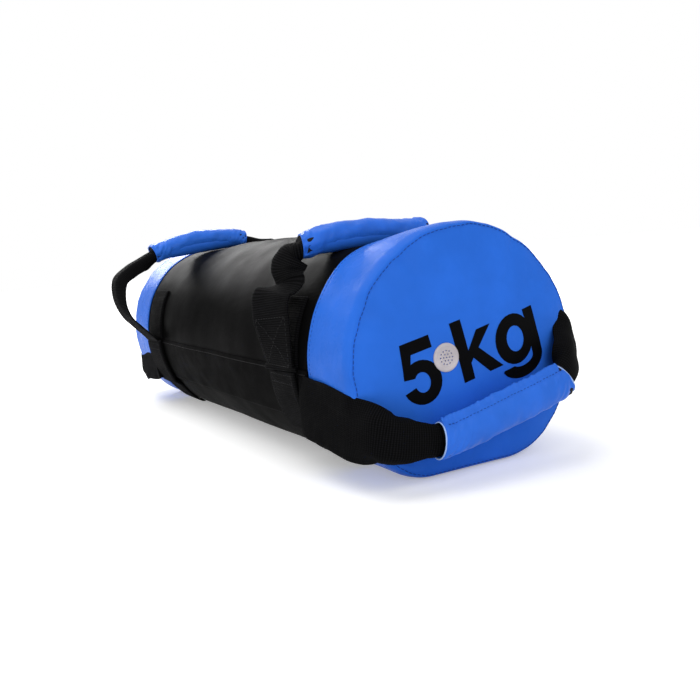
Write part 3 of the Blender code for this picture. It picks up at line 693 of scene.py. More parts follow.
def add_disc(name, end):
    shares = [0.0, 0.03, 0.07] + [0.07 + 0.86 * i / 40 for i in range(1, 41)]
    shares += [0.945, 0.958, 0.970, 0.980, 0.988, 0.994]
    rows = [[disc_point(a, share, end) for a in ROUND_DEGREES] for share in shares]
    low = shoulder(SEAM_X)
    rim = [(0.0001, low - 0.0006), (0.0001, low - GROOVE_DEPTH), (0.0001, low - 0.0036)]
    rows += turned_rows([(end * (SEAM_X + out), lift) for out, lift in rim])
    rows += [[disc_point(a, share, end, -VINYL) for a in ROUND_DEGREES]
             for share in (0.90, 0.60, 0.25, 0.0)]
    mesh = rows_surface(rows, (GIRTH, 0.2))
    piece = add_piece(f"{name}_disc_cloth", mesh, "cap", "bag", (f"{name}_end_disc",))


# Stitches

def add_stitches(name, rows, material, body, length=STITCH_LENGTH, pitch=STITCH_PITCH):
    """Short thread stitches along rows of (place, outward direction)."""
    mesh = bmesh.new()
    for row in rows:
        places = [np.array(place) for place, outward in row]
        steps = [0.0] + list(np.cumsum([np.linalg.norm(b - a) for a, b in zip(places, places[1:])]))
        count = max(int(steps[-1] / pitch), 1)
        for i in range(count):
            middle = (i + 0.5) * steps[-1] / count
            j = min(int(np.searchsorted(steps, middle)), len(row) - 1)
            share = (middle - steps[j - 1]) / (steps[j] - steps[j - 1])
            place = row[j - 1][0].lerp(row[j][0], share)
            outward = row[j - 1][1].lerp(row[j][1], share).normalized()
            forward = (row[j][0] - row[j - 1][0]).normalized()
            side = outward.cross(forward).normalized()
            outward = forward.cross(side)
            turn = Matrix((forward, side, outward)).transposed().to_4x4()
            size = Matrix.Diagonal((length / 2, STITCH_RADIUS, STITCH_RADIUS, 1))
            bmesh.ops.create_uvsphere(mesh, u_segments=6, v_segments=4, radius=1,
                                      matrix=Matrix.Translation(place) @ turn @ size)
    return add_piece(name, mesh, material, body)


def lift_at(lift, degrees):
    """A lift that is the same everywhere, or read off by the bag angle."""
    return lift(degrees) if callable(lift) else lift


def skin_row(x_from, x_to, deg_from, deg_to, lift, steps):
    """Places along a line on the skin, with the outward direction."""
    row = []
    for i in range(steps + 1):
        share = i / steps
        x = x_from + (x_to - x_from) * share
        degrees = deg_from + (deg_to - deg_from) * share
        turn = math.radians(degrees) + ROLL
        place = bag_point(x, rest_radius(degrees, x) + lift_at(lift, degrees), degrees)
        row.append((place, Vector((0, math.cos(turn), math.sin(turn)))))
    return row


def add_band_stitches(name, end):
    x = end * (BAND_EDGE + HEM_STITCH_INSET)
    row = skin_row(x, x, 0, 360, -0.0002, 240)
    add_stitches(f"{name}_band_stitches", [row], "blue_thread", "bag")
    x = end * (SEAM_X + 0.0004)
    row = skin_row(x, x, 0, 360, shoulder(SEAM_X) - 0.0009, 300)
    add_stitches(f"{name}_seam_stitches", [row], "blue_thread", "bag", 0.0034, 0.0038)


# Patches that lie on the barrel

def smooth_share(value):
    value = min(max(value, 0), 1)
    return value * value * (3 - 2 * value)


def skin_patch(deg_from, deg_to, x_from, x_to, lift, thickness, across, along, wave=0.0,
               ribs=False):
    """A closed sheet on the skin, with rounded edges."""
    turn = abs(math.radians(deg_to - deg_from))
    width = abs(x_to - x_from)
    rows = []
    for j in range(along + 1):
        v = j / along
        degrees = deg_from + (deg_to - deg_from) * v
        top, bottom = [], []
        for i in range(across + 1):
            u = i / across
            x = x_from + (x_to - x_from) * u
            near_end = min(v, 1 - v) * turn * BAG_RADIUS
            near_edge = min(u, 1 - u) * width
            rounding = 1 - math.exp(-min(near_edge, near_end) / 0.0006)
            base = rest_radius(degrees, x) + lift_at(lift, degrees)
            drift = wave * swell(x, degrees, 0.02, 11)
            rib = RIB_HEIGHT * RIB_SHAPE[j % 4] * rounding if ribs else 0
            bottom.append(bag_point(x, base, degrees))
            face = base + thickness * (0.45 + 0.55 * rounding) + drift + rib
            top.append(bag_point(x, face, degrees))
        rows.append(top + bottom[::-1] + top[:1])
    mesh = rows_surface(rows, (2 * width, turn * BAG_RADIUS))
    close_ends(mesh)
    return mesh


def mirrored(pair, side):
    """Bag angles given for the left side, or mirrored to the right."""
    return pair if side == "left" else (180 - pair[1], 180 - pair[0])


def left_angle(degrees, side):
    """A bag angle on either side, as the left side's."""
    return degrees if side == "left" else 180 - degrees


def add_side_strip(side):
    half = math.degrees(STRIP_WIDTH / BAG_RADIUS) / 2
    low, high = mirrored((SIDE_STRIP_DEG - half, SIDE_STRIP_DEG + half), side)
    reach = BAND_EDGE - 0.0006
    mesh = skin_patch(low, high, -reach, reach, GAP, STRIP_THICKNESS, 160, 18, 0.0002)
    add_piece(f"side_strip_cloth_{side}", mesh, "strip", "bag", (f"side_strip_{side}",))
    inset = math.degrees(0.0034 / BAG_RADIUS)
    rows = [skin_row(-reach + 0.002, reach - 0.002, a, a, GAP + STRIP_THICKNESS, 120)
            for a in (low + inset, high - inset)]
    add_stitches(f"side_strip_stitches_{side}", rows, "black_thread", "bag")


def rib_rows(length):
    """Mesh rows for a length of ribbed webbing, four to a rib."""
    return 4 * round(length / RIB_PITCH)


def webbing_patch(end, low, high, lift):
    """Ribbed webbing on the skin below a top handle, between two bag angles."""
    half = WEBBING_WIDTH / 2
    middle = end * TOP_HANDLE_X
    along = rib_rows(math.radians(high - low) * BAG_RADIUS)
    return skin_patch(low, high, middle - half, middle + half, lift, WEBBING_THICKNESS, 24, along,
                      ribs=True)


def add_top_anchor(name, end, side):
    """The sewn end of a top handle's webbing, above the side strip."""
    mesh = webbing_patch(end, *mirrored(TOP_ANCHOR_DEG, side), GAP)
    add_piece(f"{name}_top_patch_{side}", mesh, "webbing", "bag",
              (f"{name}_top_anchor_{side}",))


def add_top_tail(name, end, side):
    """The rest of that webbing, sewn over the side strip and on down the barrel."""
    low, high = mirrored(TOP_TAIL_DEG, side)

    def lift(degrees):
        past = smooth_share((left_angle(degrees, side) - TAIL_BEND_DEG) / 6)
        return FREE_STRAP_LIFT + (GAP - FREE_STRAP_LIFT) * past

    mesh = webbing_patch(end, low, high, lift)
    add_piece(f"{name}_top_tail_cloth_{side}", mesh, "webbing", "bag",
              (f"{name}_top_tail_{side}",))
    middle = end * TOP_HANDLE_X
    inset = WEBBING_WIDTH / 2 - 0.0042
    rows = [skin_row(middle + edge, middle + edge, low + 1, high - 2,
                     lambda degrees: lift(degrees) + WEBBING_THICKNESS, 40)
            for edge in (-inset, inset)]
    for degrees in (171.4, 175.0):
        at = left_angle(degrees, side)
        rows.append(skin_row(middle - inset, middle + inset, at, at,
                             FREE_STRAP_LIFT + WEBBING_THICKNESS, 12))
    add_stitches(f"{name}_top_tail_stitches_{side}", rows, "black_thread", "bag")


# Handle loops

def looked_up(table, value):
    """A value read off a table of pairs, straight between its rows."""
    return float(np.interp(value, [row[0] for row in table], [row[1] for row in table]))


def smooth_path(points):
    """A Catmull-Rom curve through the points, as a fine run of points."""
    ends = [2 * points[0] - points[1], *points, 2 * points[-1] - points[-2]]
    path = []
    for a, b, c, d in zip(ends, ends[1:], ends[2:], ends[3:]):
        for step in range(12):
            t = step / 12
            bend = 2 * a - 5 * b + 4 * c - d
            path.append((2 * b + (c - a) * t + bend * t ** 2 + (3 * b - 3 * c + d - a) * t ** 3) / 2)
    path.append(points[-1])
    return np.array([tuple(point) for point in path])


class Run:
    """A handle's centre line: places and directions by the distance along it."""

    def __init__(self, points, width_axis):
        self.path = smooth_path(points)
        lengths = np.linalg.norm(np.diff(self.path, axis=0), axis=1)
        self.steps = np.concatenate(([0.0], np.cumsum(lengths)))
        self.width_axis = Vector(width_axis)

    def length(self):
        return float(self.steps[-1])

    def nearest(self, place):
        """Distance along the run of its point nearest to a place."""
        away = np.linalg.norm(self.path - np.array(place), axis=1)
        return float(self.steps[int(away.argmin())])

    def place(self, distance):
        return Vector([float(np.interp(distance, self.steps, self.path[:, k])) for k in range(3)])

    def axes(self, distance, tilt=0.0):
        """The place with its directions along the run, across it and outwards."""
        step = 0.002
        ahead = self.place(min(distance + step, self.length()))
        behind = self.place(max(distance - step, 0.0))
        forward = (ahead - behind).normalized()
        across = (self.width_axis - self.width_axis.dot(forward) * forward).normalized()
        across = Matrix.Rotation(tilt, 3, forward) @ across
        return self.place(distance), forward, across, forward.cross(across)


def grip_span(run, place):
    middle = run.nearest(place)
    return middle - GRIP_LENGTH / 2, middle + GRIP_LENGTH / 2


def top_run(end, rows, middle_deg, shifts=((0, 0.0),)):
    """The centre line of a top handle, from its left foot to its right one, and its grip's span."""
    middle = end * TOP_HANDLE_X
    points = [bag_point(middle, BAG_RADIUS + STRAP_LIFT, TOP_FOOT_DEG)]
    half_deg = math.degrees(GRIP_LENGTH / 2 / BAG_RADIUS)
    for degrees, share in rows:
        radius = max(share * BAG_RADIUS, skin(degrees, middle) + STRAP_LIFT)
        if abs(degrees - middle_deg) <= half_deg:
            radius = max(radius, skin(degrees, middle) + GRIP_THICKNESS / 2 + GRIP_CLEARANCE)
        points.append(bag_point(middle + looked_up(shifts, degrees), radius, degrees))
    points.append(bag_point(middle, BAG_RADIUS + STRAP_LIFT, 180 - TOP_FOOT_DEG))
    run = Run(points, (-1, 0, 0))
    return run, grip_span(run, bag_point(middle, BAG_RADIUS + GRIP_THICKNESS / 2, middle_deg))


def end_run(end):
    """The centre line of an end handle, from one sewn end to the other, and its grip's span."""
    reach = BAG_RADIUS + STRAP_LIFT
    points = []
    for back, front, across, drop in END_LOOP:
        if end < 0 and across < FAR_LEFT_FROM:
            front *= FAR_LEFT_FRONT
            across *= FAR_LEFT_ACROSS
            drop += FAR_LEFT_DROP
        x = HALF_LENGTH - back * END_HINGE_BACK + front * FRONT_REACH
        z = -END_HINGE_DROP - drop * (END_GRIP_DROP - END_HINGE_DROP)
        points.append(in_bag(end * x, across * reach, z))
    sewn = BAG_RADIUS + SEWN_END_LIFT
    left = [in_bag(end * x, -sewn, z) for x, z in SEWN_END_ROWS]
    right = [in_bag(end * x, sewn, z) for x, z in SEWN_END_ROWS]
    run = Run(left + points + right[::-1], end * bag_vector(0, 0, 1))
    middle = in_bag(end * (HALF_LENGTH + FRONT_REACH), END_GRIP_SHIFT, -END_GRIP_DROP)
    return run, grip_span(run, middle)


# Webbing

class Strap:
    """A length of webbing on a run: its tilt, fold and curl change along it."""

    def __init__(self, run, start, end, fold, curl, tilt):
        self.run = run
        self.start = start
        self.end = end
        self.fold = fold
        self.curl = curl
        self.tilt = tilt

    def section(self, distance):
        """Points across the webbing in the section's plane, with their outward directions."""
        fold = self.fold(distance)
        curl = self.curl(distance)
        zone = 0.0024 + 0.004 * (1 - fold)
        step = WEBBING_WIDTH / 2 / SECTION_HALF_STEPS

        def lean(spot):
            turned_in = smooth_share((abs(spot) - WEBBING_WIDTH / 4 + zone) / (2 * zone))
            return -curl * spot - math.copysign(math.pi * 0.97 * fold * turned_in, spot)

        halves = []
        for sign in (-1, 1):
            point = Vector((0, 0))
            half = []
            for i in range(SECTION_HALF_STEPS):
                for k in range(SECTION_FINE):
                    angle = lean(sign * step * (i + (k + 0.5) / SECTION_FINE))
                    forward = Vector((math.cos(angle), math.sin(angle)))
                    point = point + forward * (sign * step / SECTION_FINE)
                half.append(point)
            halves.append(half)
        points = halves[0][::-1] + [Vector((0, 0))] + halves[1]
        sink = fold * sum(point.y for point in points) / len(points)
        spots = [step * (i - SECTION_HALF_STEPS) for i in range(len(points))]
        normals = [Vector((-math.sin(lean(spot)), math.cos(lean(spot)))) for spot in spots]
        return spots, [point - Vector((0, sink)) for point in points], normals

    def ring(self, distance, lift):
        """A closed ring of points round the webbing."""
        place, _, across, outward = self.run.axes(distance, self.tilt(distance))
        half = WEBBING_THICKNESS / 2
        top, bottom = [], []
        for spot, point, normal in zip(*self.section(distance)):
            edge = 1 - math.exp(-(WEBBING_WIDTH / 2 - abs(spot)) / 0.0009)
            rise = half * (0.55 + 0.45 * edge)
            a = point + normal * (rise + lift * edge)
            b = point - normal * rise
            top.append(place + across * a.x + outward * a.y)
            bottom.append(place + across * b.x + outward * b.y)
        return top + bottom[::-1] + top[:1]

    def mesh(self):
        count = rib_rows(self.end - self.start)
        rows = []
        for i in range(count + 1):
            distance = self.start + (self.end - self.start) * i / count
            rows.append(self.ring(distance, RIB_HEIGHT * RIB_SHAPE[i % 4]))
        mesh = rows_surface(rows, (2 * WEBBING_WIDTH, self.end - self.start))
        close_ends(mesh)
        return mesh

    def spot(self, distance, across_share):
        """A place on the outer face, for thread, and its outward direction."""
        place, _, across, outward = self.run.axes(distance, self.tilt(distance))
        spots, points, normals = self.section(distance)
        i = min(max(round((across_share + 0.5) * (len(spots) - 1)), 0), len(spots) - 1)
        point = points[i] + normals[i] * (WEBBING_THICKNESS / 2 + RIB_HEIGHT / 2)
        direction = across * normals[i].x + outward * normals[i].y
        return place + across * point.x + outward * point.y, direction

    def row(self, distances, shares):
        """Places for thread on the way between two spots."""
        row = []
        for i in range(SEWN_BOX_STEPS + 1):
            t = i / SEWN_BOX_STEPS
            distance = distances[0] + (distances[1] - distances[0]) * t
            row.append(self.spot(distance, shares[0] + (shares[1] - shares[0]) * t))
        return row


def crossed_box(strap, low, high):
    """A sewn box with a cross in it, between two distances on a strap's outer face."""
    inset = SEWN_BOX_SHARE
    ways = (((low, low), (-inset, inset)), ((high, high), (-inset, inset)),
            ((low, high), (-inset, -inset)), ((low, high), (inset, inset)),
            ((low, high), (-inset, inset)), ((low, high), (inset, -inset)))
    return [strap.row(distances, shares) for distances, shares in ways]


def add_strap(name, strap, blend_from, blend_to, replaces, sewn=()):
    """One strap with its stitches."""
    piece = add_piece(name, strap.mesh(), "webbing", None, replaces)
    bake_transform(piece)
    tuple(blend_to)
    if sewn:
        rows = crossed_box(strap, *sewn)
        threads = add_stitches(f"{name}_stitches", rows, "black_thread", None)
        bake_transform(threads)
        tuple(blend_to)


def handle_sides(run, span):
    """The two straps of a handle: side, start and end on the run, foot and mouth."""
    end = run.length()
    return (("left", 0.0, span[0] + STRAP_IN_GRIP, run.place(0.0), run.place(span[0])),
            ("right", span[1] - STRAP_IN_GRIP, end, run.place(end), run.place(span[1])))


def outside_grip(distance, span):
    """How far a place on the run is outside the grip, less than 0 inside."""
    return max(span[0] - distance, distance - span[1])


def by_distance(table, span):
    """A table read off by how far a place on the run is outside the grip."""
    return lambda distance: looked_up(table, outside_grip(distance, span))


def add_top_straps(name, run, span):
    def tilt(distance):
        if name == "far" or distance > span[0]:
            return 0.0
        place = run.place(distance)
        degrees = math.degrees(math.atan2(place.z - AXIS_HEIGHT, place.y) - ROLL)
        return math.radians(looked_up(NEAR_LEFT_TILT, degrees))

    for side, start, stop, foot, mouth in handle_sides(run, span):
        table = SHORT_FOLD
        if side == "left":
            table = NEAR_LEFT_FOLD if name == "near" else FAR_LEFT_FOLD
        strap = Strap(run, start, stop, by_distance(table, span), by_distance(MOUTH_CURL, span), tilt)
        sewn = SEWN_BOX if side == "left" else (stop - SEWN_BOX[1], stop - SEWN_BOX[0])
        replaces = (f"{name}_top_webbing",) if side == "left" else ()
        add_strap(f"{name}_top_strap_{side}", strap,
                  foot.lerp(mouth, TOP_BEND_FROM), mouth, replaces, sewn)


def add_end_straps(name, end, run, span):
    mouth_curl = by_distance(MOUTH_CURL, span)
    front_lean = by_distance(FRONT_LEAN, span)

    def curl(distance):
        lying = smooth_share((LYING_TO_X - abs(run.place(distance).x)) / LYING_FADE)
        return lying / (BAG_RADIUS + STRAP_LIFT) + mouth_curl(distance)

    def lean(distance):
        if distance > span[0]:
            return 0.0
        free = smooth_share((abs(run.place(distance).x) - LEAN_FROM_X) / LEAN_FADE)
        return -end * free * math.radians(front_lean(distance))

    for side, start, stop, _, _ in handle_sides(run, span):
        strap = Strap(run, start, stop, by_distance(FRONT_FOLD, span), curl, lean)
        across = -1 if side == "left" else 1
        hinge = in_bag(end * (HALF_LENGTH - END_HINGE_BACK), across * BAG_RADIUS, -END_HINGE_DROP)
        replaces = [f"{name}_end_anchor_{side}"]
        if side == "left":
            replaces.append(f"{name}_end_webbing")
        add_strap(f"{name}_end_strap_{side}", strap,
                  hinge - Vector((end * BEND_BEHIND, 0, 0)), hinge + Vector((end * BEND_AHEAD, 0, 0)),
                  replaces)


# Sleeves

FIN_STAND = 0.0026
FIN_HALF_TURN = 0.17
BESIDE_FIN = 0.50
MOUTH_DRAW = 0.05
SLEEVE_NARROWER = 0.0008
SLEEVE_HEM = 0.007
MOUTH_SLANT = 0.005
RIM_INSET = (0.0012, 0.0004)
RIM_RADIUS = 0.00055


def sleeve_stand(turn, seam_turn, along_share, seed):
    """How far the vinyl stands off its plain oval, with the sewn fin along one side."""
    off_seam = (turn - seam_turn + math.pi) % (2 * math.pi) - math.pi
    fin = FIN_STAND * math.exp(-(off_seam / FIN_HALF_TURN) ** 2)
    crease = -0.0005 * math.exp(-((off_seam - BESIDE_FIN) / 0.08) ** 2)
    spot = Vector((math.cos(turn) * 1.4, math.sin(turn) * 1.4, along_share * 14 + seed))
    ends = math.exp(-min(along_share, 1 - along_share) * GRIP_LENGTH / 0.011)
    gathers = Vector((off_seam * 2.2 + along_share * 26, along_share * 20, seed))
    pulled = 0.0018 * ends * noise.noise(gathers)
    across_fin = Vector((off_seam, along_share * 34, seed))
    ripples = 0.0010 * math.exp(-(off_seam / 0.7) ** 2) * noise.noise(across_fin)
    return fin + crease + 0.0009 * noise.noise(spot) + pulled + ripples


def slanted(distance, turn, span, slant):
    """How far the cut of a sleeve's left mouth leans away along the grip."""
    return -slant * (1 - math.cos(turn)) / 2 * math.exp(-(distance - span[0]) / 0.02)


def oval_point(axes, turn, width, thick):
    """A point round a grip, on an oval with this half width and half thickness."""
    place, _, across, outward = axes
    return place + across * math.cos(turn) * width + outward * math.sin(turn) * thick


def sleeve_rows(run, span, seam_turn, seed, slant):
    """Rows round the sleeve: its outside from end to end, then its inside back again."""
    around, along = 120, 130

    def oval(distance, wall, rim):
        axes = run.axes(distance)
        share = (distance - span[0]) / (span[1] - span[0])
        close = min(distance - span[0], span[1] - distance)
        draw = 1 - MOUTH_DRAW * math.exp(-close / 0.006)
        row = []
        for i in range(around + 1):
            turn = 2 * math.pi * i / around
            off = sleeve_stand(turn, seam_turn, share, seed) * (1 if wall == 0 else 0)
            width = GRIP_WIDTH / 2 * draw - wall - rim + off - SLEEVE_NARROWER
            thick = GRIP_THICKNESS / 2 * draw - wall - rim + off
            point = oval_point(axes, turn, width, thick)
            row.append(point + axes[1] * slanted(distance, turn, span, slant))
        return row

    places = [span[0] + (span[1] - span[0]) * i / along for i in range(along + 1)]
    rows = [oval(places[0], 0, 0.0003)] + [oval(d, 0, 0) for d in places]
    rows.append(oval(places[-1], 0, 0.0003))
    inside = (span[1], span[1] - SLEEVE_HEM, span[0] + SLEEVE_HEM, span[0])
    rows += [oval(d, SLEEVE_WALL, 0) for d in inside]
    return rows + rows[:1]


def ring_tube(points, radius):
    """A thin tube through a closed ring of points."""
    centre = sum(points[:-1], Vector()) / (len(points) - 1)
    rows = []
    for i, point in enumerate(points):
        ahead = points[(i + 1) % (len(points) - 1)]
        behind = points[(i - 1) % (len(points) - 1)]
        outward = (point - centre).normalized()
        side = (ahead - behind).normalized().cross(outward).normalized()
        turns = [2 * math.pi * k / 8 for k in range(9)]
        rows.append([point + (outward * math.cos(t) + side * math.sin(t)) * radius for t in turns])
    return rows_surface(rows, (2 * math.pi * radius, 0.08))


def add_sleeve(name, body, run, span, seam_turn, seed, stitch_way=1, hem_material="sleeve",
               slant=0.0):
    rows = sleeve_rows(run, span, seam_turn, seed, slant)
    mesh = rows_surface(rows, (0.086, 2 * GRIP_LENGTH))
    piece = add_piece(f"{name}_sleeve_cloth", mesh, "sleeve", body, (f"{name}_sleeve",))
    line = []
    beside = seam_turn + stitch_way * BESIDE_FIN
    for i in range(61):
        distance = span[0] + 0.003 + (span[1] - span[0] - 0.006) * i / 60
        axes = run.axes(distance)
        share = (distance - span[0]) / (span[1] - span[0])
        off = sleeve_stand(beside, seam_turn, share, seed)
        width = GRIP_WIDTH / 2 + off - SLEEVE_NARROWER
        direction = axes[2] * math.cos(beside) + axes[3] * math.sin(beside)
        line.append((oval_point(axes, beside, width, GRIP_THICKNESS / 2 + off), direction))
    add_stitches(f"{name}_sleeve_stitches", [line], "blue_thread", body, 0.0024, 0.0031)
    width = GRIP_WIDTH / 2 * (1 - MOUTH_DRAW) - RIM_INSET[0]
    thick = GRIP_THICKNESS / 2 * (1 - MOUTH_DRAW) - RIM_INSET[1]
    for label, at, inward in (("left", span[0], 1), ("right", span[1], -1)):
        axes = run.axes(at)
        turns = [2 * math.pi * i / 72 for i in range(73)]
        rim = [oval_point(axes, t, width, thick)
               + axes[1] * (slanted(at, t, span, slant) - inward * 0.0002) for t in turns]
        add_piece(f"{name}_sleeve_hem_{label}", ring_tube(rim, RIM_RADIUS), hem_material, body)


# Print and vent

def arc(centre, radii, start_deg, end_deg, steps=22):
    """Points on part of an oval."""
    turns = [math.radians(start_deg + (end_deg - start_deg) * i / steps) for i in range(steps + 1)]
    return [(centre[0] + radii[0] * math.cos(t), centre[1] + radii[1] * math.sin(t)) for t in turns]


# Outlines of the plain figures, in shares of their height

FIVE = [[(0.68, 1.0), (0.125, 1.0), (0.030, 0.45), (0.225, 0.425),
         *arc((0.345, 0.325), (0.145, 0.165), 140, -165),
         *arc((0.345, 0.325), (0.370, 0.355), 195, 470),
         (0.270, 0.80), (0.68, 0.80)]]
LETTER_K = [[(0, 0), (0, 1), (0.222, 1), (0.222, 0.478), (0.475, 0.745), (0.775, 0.745), (0.437, 0.455),
             (0.845, 0), (0.555, 0), (0.287, 0.330), (0.222, 0.268), (0.222, 0)]]
LETTER_G = [[(0.862, 0.745), (0.655, 0.745), (0.655, 0.640),
             *arc((0.360, 0.370), (0.375, 0.398), 36, 324),
             (0.655, 0.110), (0.655, 0.03),
             *arc((0.430, 0.010), (0.222, 0.105), 0, -150, 14),
             (0.030, -0.045),
             *arc((0.430, 0.000), (0.432, 0.275), -165, 0, 18)],
            arc((0.374, 0.370), (0.172, 0.205), 0, 345, 23)]

MARK_HEIGHT = 0.0455
MARK_BASE = -0.0132
MARK_LIFT = 0.0002
MARK_CELL = 0.003
MARK_CUTS = 24

# Each figure with its left edge, its width and height as shares, and how far it is let down

MARKS = (("five", FIVE, -0.0630, 0.93, 1.0, 0.0015), ("k", LETTER_K, -0.0160, 0.95, 1.0, 0),
         ("g", LETTER_G, 0.0186, 1.08, 1.05, 0.0028))


def filled(outlines):
    """A flat mesh inside closed outlines."""
    curve = bpy.data.curves.new("outline", "CURVE")
    curve.dimensions = "2D"
    curve.fill_mode = "BOTH"
    for outline in outlines:
        spline = curve.splines.new("POLY")
        spline.points.add(len(outline) - 1)
        for point, (x, y) in zip(spline.points, outline):
            point.co = (x, y, 0, 1)
        spline.use_cyclic_u = True
    item = bpy.data.objects.new("outline", curve)
    bpy.context.scene.collection.objects.link(item)
    bpy.context.view_layer.update()
    mesh = bmesh.new()
    mesh.from_mesh(item.to_mesh())
    item.to_mesh_clear()
    bpy.data.objects.remove(item)
    return mesh


def face_place(u, v, lift):
    """A place on the near disc from bag coordinates across and up."""
    radius = rest_radius(math.degrees(math.atan2(v, u)), SEAM_X) - RIM_DROP
    return disc_point(math.degrees(math.atan2(v, u)), math.hypot(u, v) / radius, 1, lift)


def add_mark():
    """The weight in plain figures, printed either side of the vent."""
    for name, outlines, left, wide, high, down in MARKS:
        mesh = filled(outlines)
        bmesh.ops.scale(mesh, vec=(MARK_HEIGHT * wide, MARK_HEIGHT * high, 1), verts=mesh.verts)
        bmesh.ops.translate(mesh, vec=(left, MARK_BASE - down, 0), verts=mesh.verts)
        for axis in (0, 1):
            normal = Vector((1 - axis, axis, 0))
            for i in range(-MARK_CUTS, MARK_CUTS + 1):
                everything = list(mesh.verts) + list(mesh.edges) + list(mesh.faces)
                bmesh.ops.bisect_plane(mesh, geom=everything, dist=MERGE,
                                       plane_co=normal * MARK_CELL * i, plane_no=normal)
        for vertex in mesh.verts:
            vertex.co = face_place(vertex.co.x, vertex.co.y, MARK_LIFT)
        add_piece(f"weight_mark_{name}", mesh, "ink", "bag")


VENT_ACROSS = -0.0256
VENT_UP = 0.0104
VENT_STEP = 0.004
VENT_PROFILE = (
    (0, -0.0030), (0.0078, -0.0030), (0.0080, -0.0004), (0.0103, -0.0002), (0.0105, 0.0002),
    (0.0104, 0.0008), (0.0098, 0.0013), (0.0090, 0.0015), (0.0083, 0.0014), (0.0078, 0.0011),
    (0.0072, 0.0010), (0.0, 0.0011),
)
HOLE_RINGS = ((6, 0.0025), (12, 0.0050))
HOLE_RADIUS = 0.00060
HOLE_DEPTH = 0.0030


def turned(profile, sides):
    """A turned solid from a profile of (radius, height) pairs that runs from axis to axis."""
    mesh = bmesh.new()
    vertices = [mesh.verts.new((radius, 0, height)) for radius, height in profile]
    edges = [mesh.edges.new(pair) for pair in zip(vertices, vertices[1:])]
    bmesh.ops.spin(mesh, geom=vertices + edges, cent=(0, 0, 0), axis=(0, 0, 1), angle=2 * math.pi,
                   steps=sides, use_merge=True)
    bmesh.ops.remove_doubles(mesh, verts=mesh.verts, dist=MERGE)
    bmesh.ops.recalc_face_normals(mesh, faces=mesh.faces)
    return mesh


def add_vent():
    """The moulded vent: a rim, a shallow step and a grille of small holes."""
    centre = face_place(VENT_ACROSS, VENT_UP, 0.0)
    right = face_place(VENT_ACROSS + VENT_STEP, VENT_UP, 0.0) - centre
    up = face_place(VENT_ACROSS, VENT_UP + VENT_STEP, 0.0) - centre
    outward = right.cross(up).normalized()
    place = Matrix.Translation(centre) @ outward.to_track_quat("Z", "Y").to_matrix().to_4x4()
    body = turned(VENT_PROFILE, 72)
    bmesh.ops.transform(body, matrix=place, verts=body.verts)
    piece = add_piece("vent_grille", body, "vent", "bag", ("vent_eyelet",))
    holes = bmesh.new()
    spots = [(0.0, 0.0)]
    for count, radius in HOLE_RINGS:
        turns = [2 * math.pi * i / count for i in range(count)]
        spots += [(radius * math.cos(t), radius * math.sin(t)) for t in turns]
    for x, y in spots:
        bmesh.ops.create_cone(holes, cap_ends=True, segments=14, radius1=HOLE_RADIUS,
                              radius2=HOLE_RADIUS, depth=HOLE_DEPTH,
                              matrix=place @ Matrix.Translation((x, y, 0.0006)))
    data = bpy.data.meshes.new("vent_drills")
    holes.to_mesh(data)
    holes.free()
    drills = bpy.data.objects.new("vent_drills", data)
    bpy.context.scene.collection.objects.link(drills)
    cut = piece.modifiers.new("grille", "BOOLEAN")
    cut.operation = "DIFFERENCE"
    cut.solver = "EXACT"
    cut.object = drills
    bpy.context.view_layer.update()
    result = bpy.data.meshes.new_from_object(piece.evaluated_get(bpy.context.evaluated_depsgraph_get()))
    piece.modifiers.clear()
    piece.data = result
    result.set_sharp_from_angle(angle=math.radians(35))
    bpy.data.objects.remove(drills)


# Stage

FLOOR_NEAR = 0.45
FLOOR_FAR = 1.30
CAMERA_PLACE = (0.806622, -0.366438, 0.180685)
CAMERA_TURNS_DEG = (62.37705, 7.55623, -5.27160)
CAMERA_LENS = 44.0889


def add_floor():
    """A white floor that keeps the bag's shadow."""
    mesh = bmesh.new()
    bmesh.ops.create_circle(mesh, cap_ends=True, segments=96, radius=6.0)
    data = bpy.data.meshes.new("floor")
    mesh.to_mesh(data)
    mesh.free()
    floor = bpy.data.objects.new("floor", data)
    bpy.context.scene.collection.objects.link(floor)
    graph = Graph(bpy.data.materials.new("floor_paper"))
    away = graph.add("ShaderNodeVectorMath", {"operation": "LENGTH"}, {0: graph.object_place()},
                     output="Value")
    glow = graph.mix(away.between(FLOOR_NEAR, FLOOR_FAR), (0.30, 0.30, 0.30, 1), (1, 1, 1, 1))
    glow = graph.mix(graph.seen(), (0, 0, 0, 1), glow)
    graph.finish(Base_Color=(0.93, 0.93, 0.93, 1), Roughness=0.9, Specular_IOR_Level=0.2,
                 Emission_Color=glow, Emission_Strength=1.0)
    data.materials.append(graph.owner)


def add_lamp(name, place, target, size, watts):
    lamp = bpy.data.lights.new(name, "AREA")
    lamp.shape = "RECTANGLE"
    lamp.size = size[0]
    lamp.size_y = size[1]
    lamp.energy = watts
    item = bpy.data.objects.new(name, lamp)
    item.location = place
    item.rotation_euler = (Vector(place) - Vector(target)).to_track_quat("Z", "Y").to_euler()
    bpy.context.scene.collection.objects.link(item)


def add_world():
    """White where it is seen, mirrored or looked through, and an even soft light elsewhere."""
    graph = Graph(bpy.data.worlds.new("studio"))
    bpy.context.scene.world = graph.finish(Color=(1, 1, 1, 1), Strength=graph.seen() * 0.5 + 0.5)


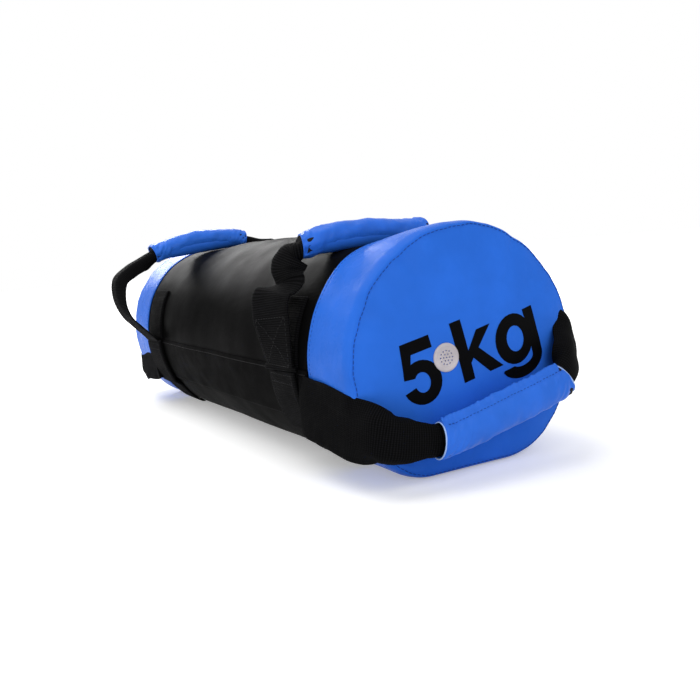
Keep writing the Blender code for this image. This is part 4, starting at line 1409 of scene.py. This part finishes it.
def add_camera():
    """The photograph's viewpoint."""
    azimuth, elevation, roll = (math.radians(turn) for turn in CAMERA_TURNS_DEG)
    back = Vector((math.sin(azimuth) * math.cos(elevation), -math.cos(azimuth) * math.cos(elevation),
                   math.sin(elevation)))
    right = Vector((0, 0, 1)).cross(back).normalized()
    up = back.cross(right)
    turned_right = right * math.cos(roll) + up * math.sin(roll)
    turned_up = up * math.cos(roll) - right * math.sin(roll)
    camera = bpy.data.cameras.new("camera")
    camera.sensor_width = 36
    camera.lens = CAMERA_LENS
    item = bpy.data.objects.new("camera", camera)
    item.matrix_world = Matrix.Translation(CAMERA_PLACE) @ Matrix(
        (turned_right, turned_up, back)).transposed().to_4x4()
    bpy.context.scene.collection.objects.link(item)
    bpy.context.scene.camera = item


# The whole bag

add_camera()
add_world()
add_lamp("overhead", (-0.35, -0.35, 1.5), (0, 0, 0.1), (1.5, 1.5), 13)
add_lamp("front", (1.7, -0.2, 0.9), (0.25, 0, 0.1), (1.2, 1.2), 10)
add_lamp("side", (-0.25, -1.6, 0.55), (0.2, 0, 0.1), (0.10, 0.6), 3.0)
add_lamp("behind", (-1.9, 0.15, 0.85), (0, 0, 0.15), (1.1, 0.5), 20)
add_floor()

add_barrel()
add_liner_and_filling()
for end_name, end_side in (("near", 1), ("far", -1)):
    add_band(end_name, end_side)
    add_disc(end_name, end_side)
    add_band_stitches(end_name, end_side)
    for strap_side in ("left", "right"):
        add_top_anchor(end_name, end_side, strap_side)
        add_top_tail(end_name, end_side, strap_side)
for strap_side in ("left", "right"):
    add_side_strip(strap_side)
add_mark()
add_vent()

near_run, near_span = top_run(1, NEAR_TOP_LOOP, NEAR_GRIP_MIDDLE_DEG, NEAR_LEFT_SHIFT)
far_run, far_span = top_run(-1, FAR_TOP_LOOP, FAR_GRIP_MIDDLE_DEG)
add_top_straps("near", near_run, near_span)
add_top_straps("far", far_run, far_span)
add_sleeve("near_top", "near_top_handle", near_run, near_span, math.radians(40), 1)
add_sleeve("far_top", "far_top_handle", far_run, far_span, math.radians(40), 2)
for end_name, end_side in (("near", 1), ("far", -1)):
    loop, span = end_run(end_side)
    add_end_straps(end_name, end_side, loop, span)
    seam_turn = math.radians(8 if end_side > 0 else 172)
    add_sleeve(f"{end_name}_end", f"{end_name}_end_handle", loop, span, seam_turn, 3, end_side, "edge",
               MOUTH_SLANT)

for node_name, material_name in (("vent_washer", "vent"), ("near_top_foam", "foam"),
                                 ("far_top_foam", "foam"), ("near_end_foam", "foam"),
                                 ("far_end_foam", "foam")):
    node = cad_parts[node_name]
    node.data.materials.clear()
    node.data.materials.append(MATERIALS[material_name])

bpy.context.scene.view_settings.view_transform = "Standard"
